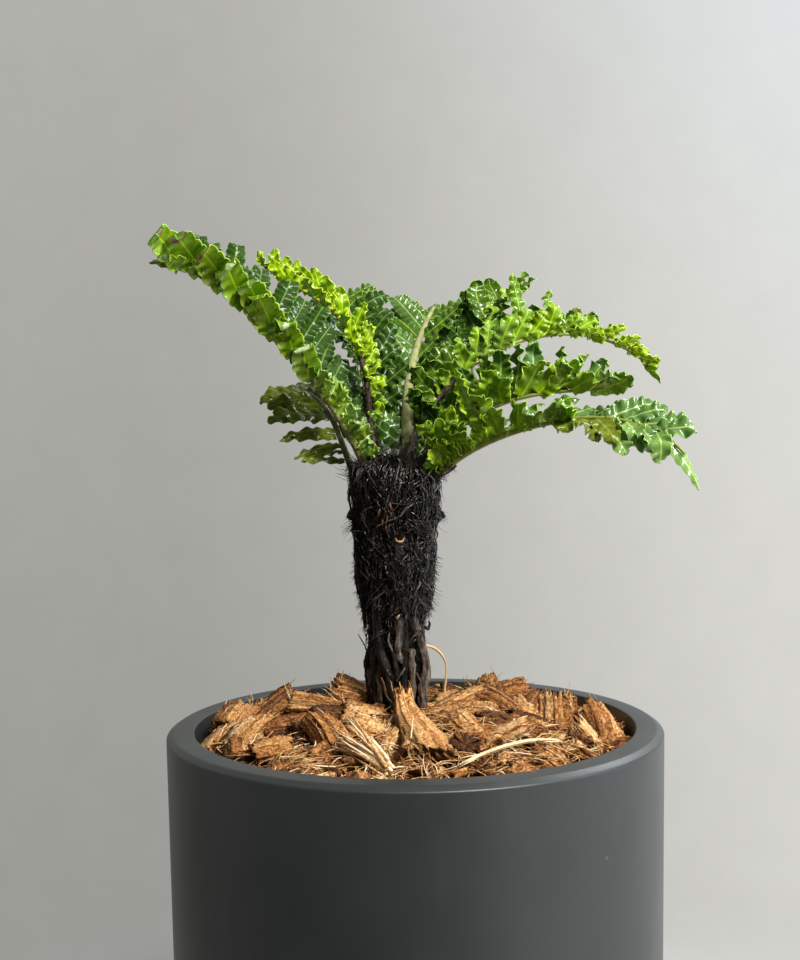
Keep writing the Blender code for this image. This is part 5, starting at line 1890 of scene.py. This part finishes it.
@dataclass
class Studio:
    """The pale floor, the soft lights, the plain surroundings and the camera."""

    eye: Triple = (-0.0009, -0.358, 0.2177)
    pitch: float = -0.55
    yaw: float = -0.41
    roll: float = -0.81
    focal: float = 1165.0
    image_height: float = 960.0
    sensor: float = 36.0
    floor_radius: float = 0.3
    floor_sides: int = 96
    aim_height: float = 0.2

    def build(self) -> None:
        """Make the floor, the lights, the surroundings and the camera."""
        self.build_floor()
        self.build_lights()
        self.build_world()
        self.build_camera()
        bpy.context.scene.view_settings.view_transform = "Standard"

    def linked(self, name: str, data: Any) -> bpy.types.Object:
        """A new object in the scene."""
        made = bpy.data.objects.new(name, data)
        bpy.context.scene.collection.objects.link(made)
        return made

    def build_floor(self) -> None:
        """Make the floor under the pot."""
        mesh = bpy.data.meshes.new("stage_floor")
        mesh.from_pydata(polar(self.floor_radius, round_angles(self.floor_sides), 0.0).tolist(), [],
                         [tuple(range(self.floor_sides))])
        mesh.materials.append(FLOOR.material())
        self.linked("stage_floor", mesh)

    def build_lights(self) -> None:
        """Make the key light in front at the right, the window light beside it and the sky behind."""
        for name, place, size, power, colour in LAMPS:
            lamp = bpy.data.lights.new(name, "AREA")
            lamp.size, lamp.energy, lamp.color = size, power, colour
            made = self.linked(name, lamp)
            made.location = place
            made.visible_camera = False
            aim = Vector((0, 0, self.aim_height)) - made.location
            made.rotation_euler = aim.to_track_quat("-Z", "Y").to_euler()

    def build_world(self) -> None:
        """Make the plain surroundings, paler to the right and higher up."""
        world = bpy.data.worlds.new("studio")
        bpy.context.scene.world = world
        world.use_nodes = True
        graph = Graph(world.node_tree)
        way = graph.output("Generated", "ShaderNodeTexCoord")
        parts = graph.node("ShaderNodeSeparateXYZ", None, {0: way})
        right, ahead, up = (Sock(graph, parts.outputs[name]) for name in "XYZ")
        level = right.between(-0.22, 0.4) * 0.34 + up * 0.16 + 0.385
        cloud = graph.noise(way, 26.0, 6.0, 0.62) * 0.1 + 0.95
        level = level * cloud * (ahead.between(0.05, 0.78) * 0.74 + 0.26)
        low = up.between(0.22, 0.0)
        level = level + right.between(0.34, 0.6) * low * (1.2 - ahead.between(-0.1, 0.8) * 0.85)
        level = level + right.between(-0.84, -1.0) * low * 0.4
        shade = graph.mixed((right + up).between(0.25, 0.75), (1.0, 0.99, 0.93), (0.98, 1.03, 1.04))
        graph.finish(graph.node("ShaderNodeBackground", None, {"Color": shade, "Strength": level}),
                     "ShaderNodeOutputWorld")

    def build_camera(self) -> None:
        """Set the camera at the photograph's place and angle."""
        pitch, yaw, roll = (math.radians(value) for value in (self.pitch, self.yaw, self.roll))
        ahead = Vector((math.sin(yaw) * math.cos(pitch), math.cos(yaw) * math.cos(pitch), math.sin(pitch)))
        level = Vector((math.cos(yaw), -math.sin(yaw), 0))
        right, up = turned(level, level.cross(ahead), roll)
        lens = bpy.data.cameras.new("camera")
        lens.sensor_width = self.sensor
        lens.lens = self.focal / self.image_height * self.sensor
        made = self.linked("camera", lens)
        turn = Matrix((right, up, -ahead)).transposed().to_4x4()
        made.matrix_world = Matrix.Translation(self.eye) @ turn
        bpy.context.scene.camera = made


def main() -> None:
    """Build the pot, the mulch, the trunk, the crown and the studio."""
    logging.basicConfig(level=logging.INFO, format="%(message)s")
    pot = Pot()
    trunk = Trunk()
    for part in (pot, MulchBed(pot), trunk, Crown(trunk), Studio()):
        LOG.info("building %s", type(part).__name__)
        part.build()


if __name__ == "__main__":
    main()
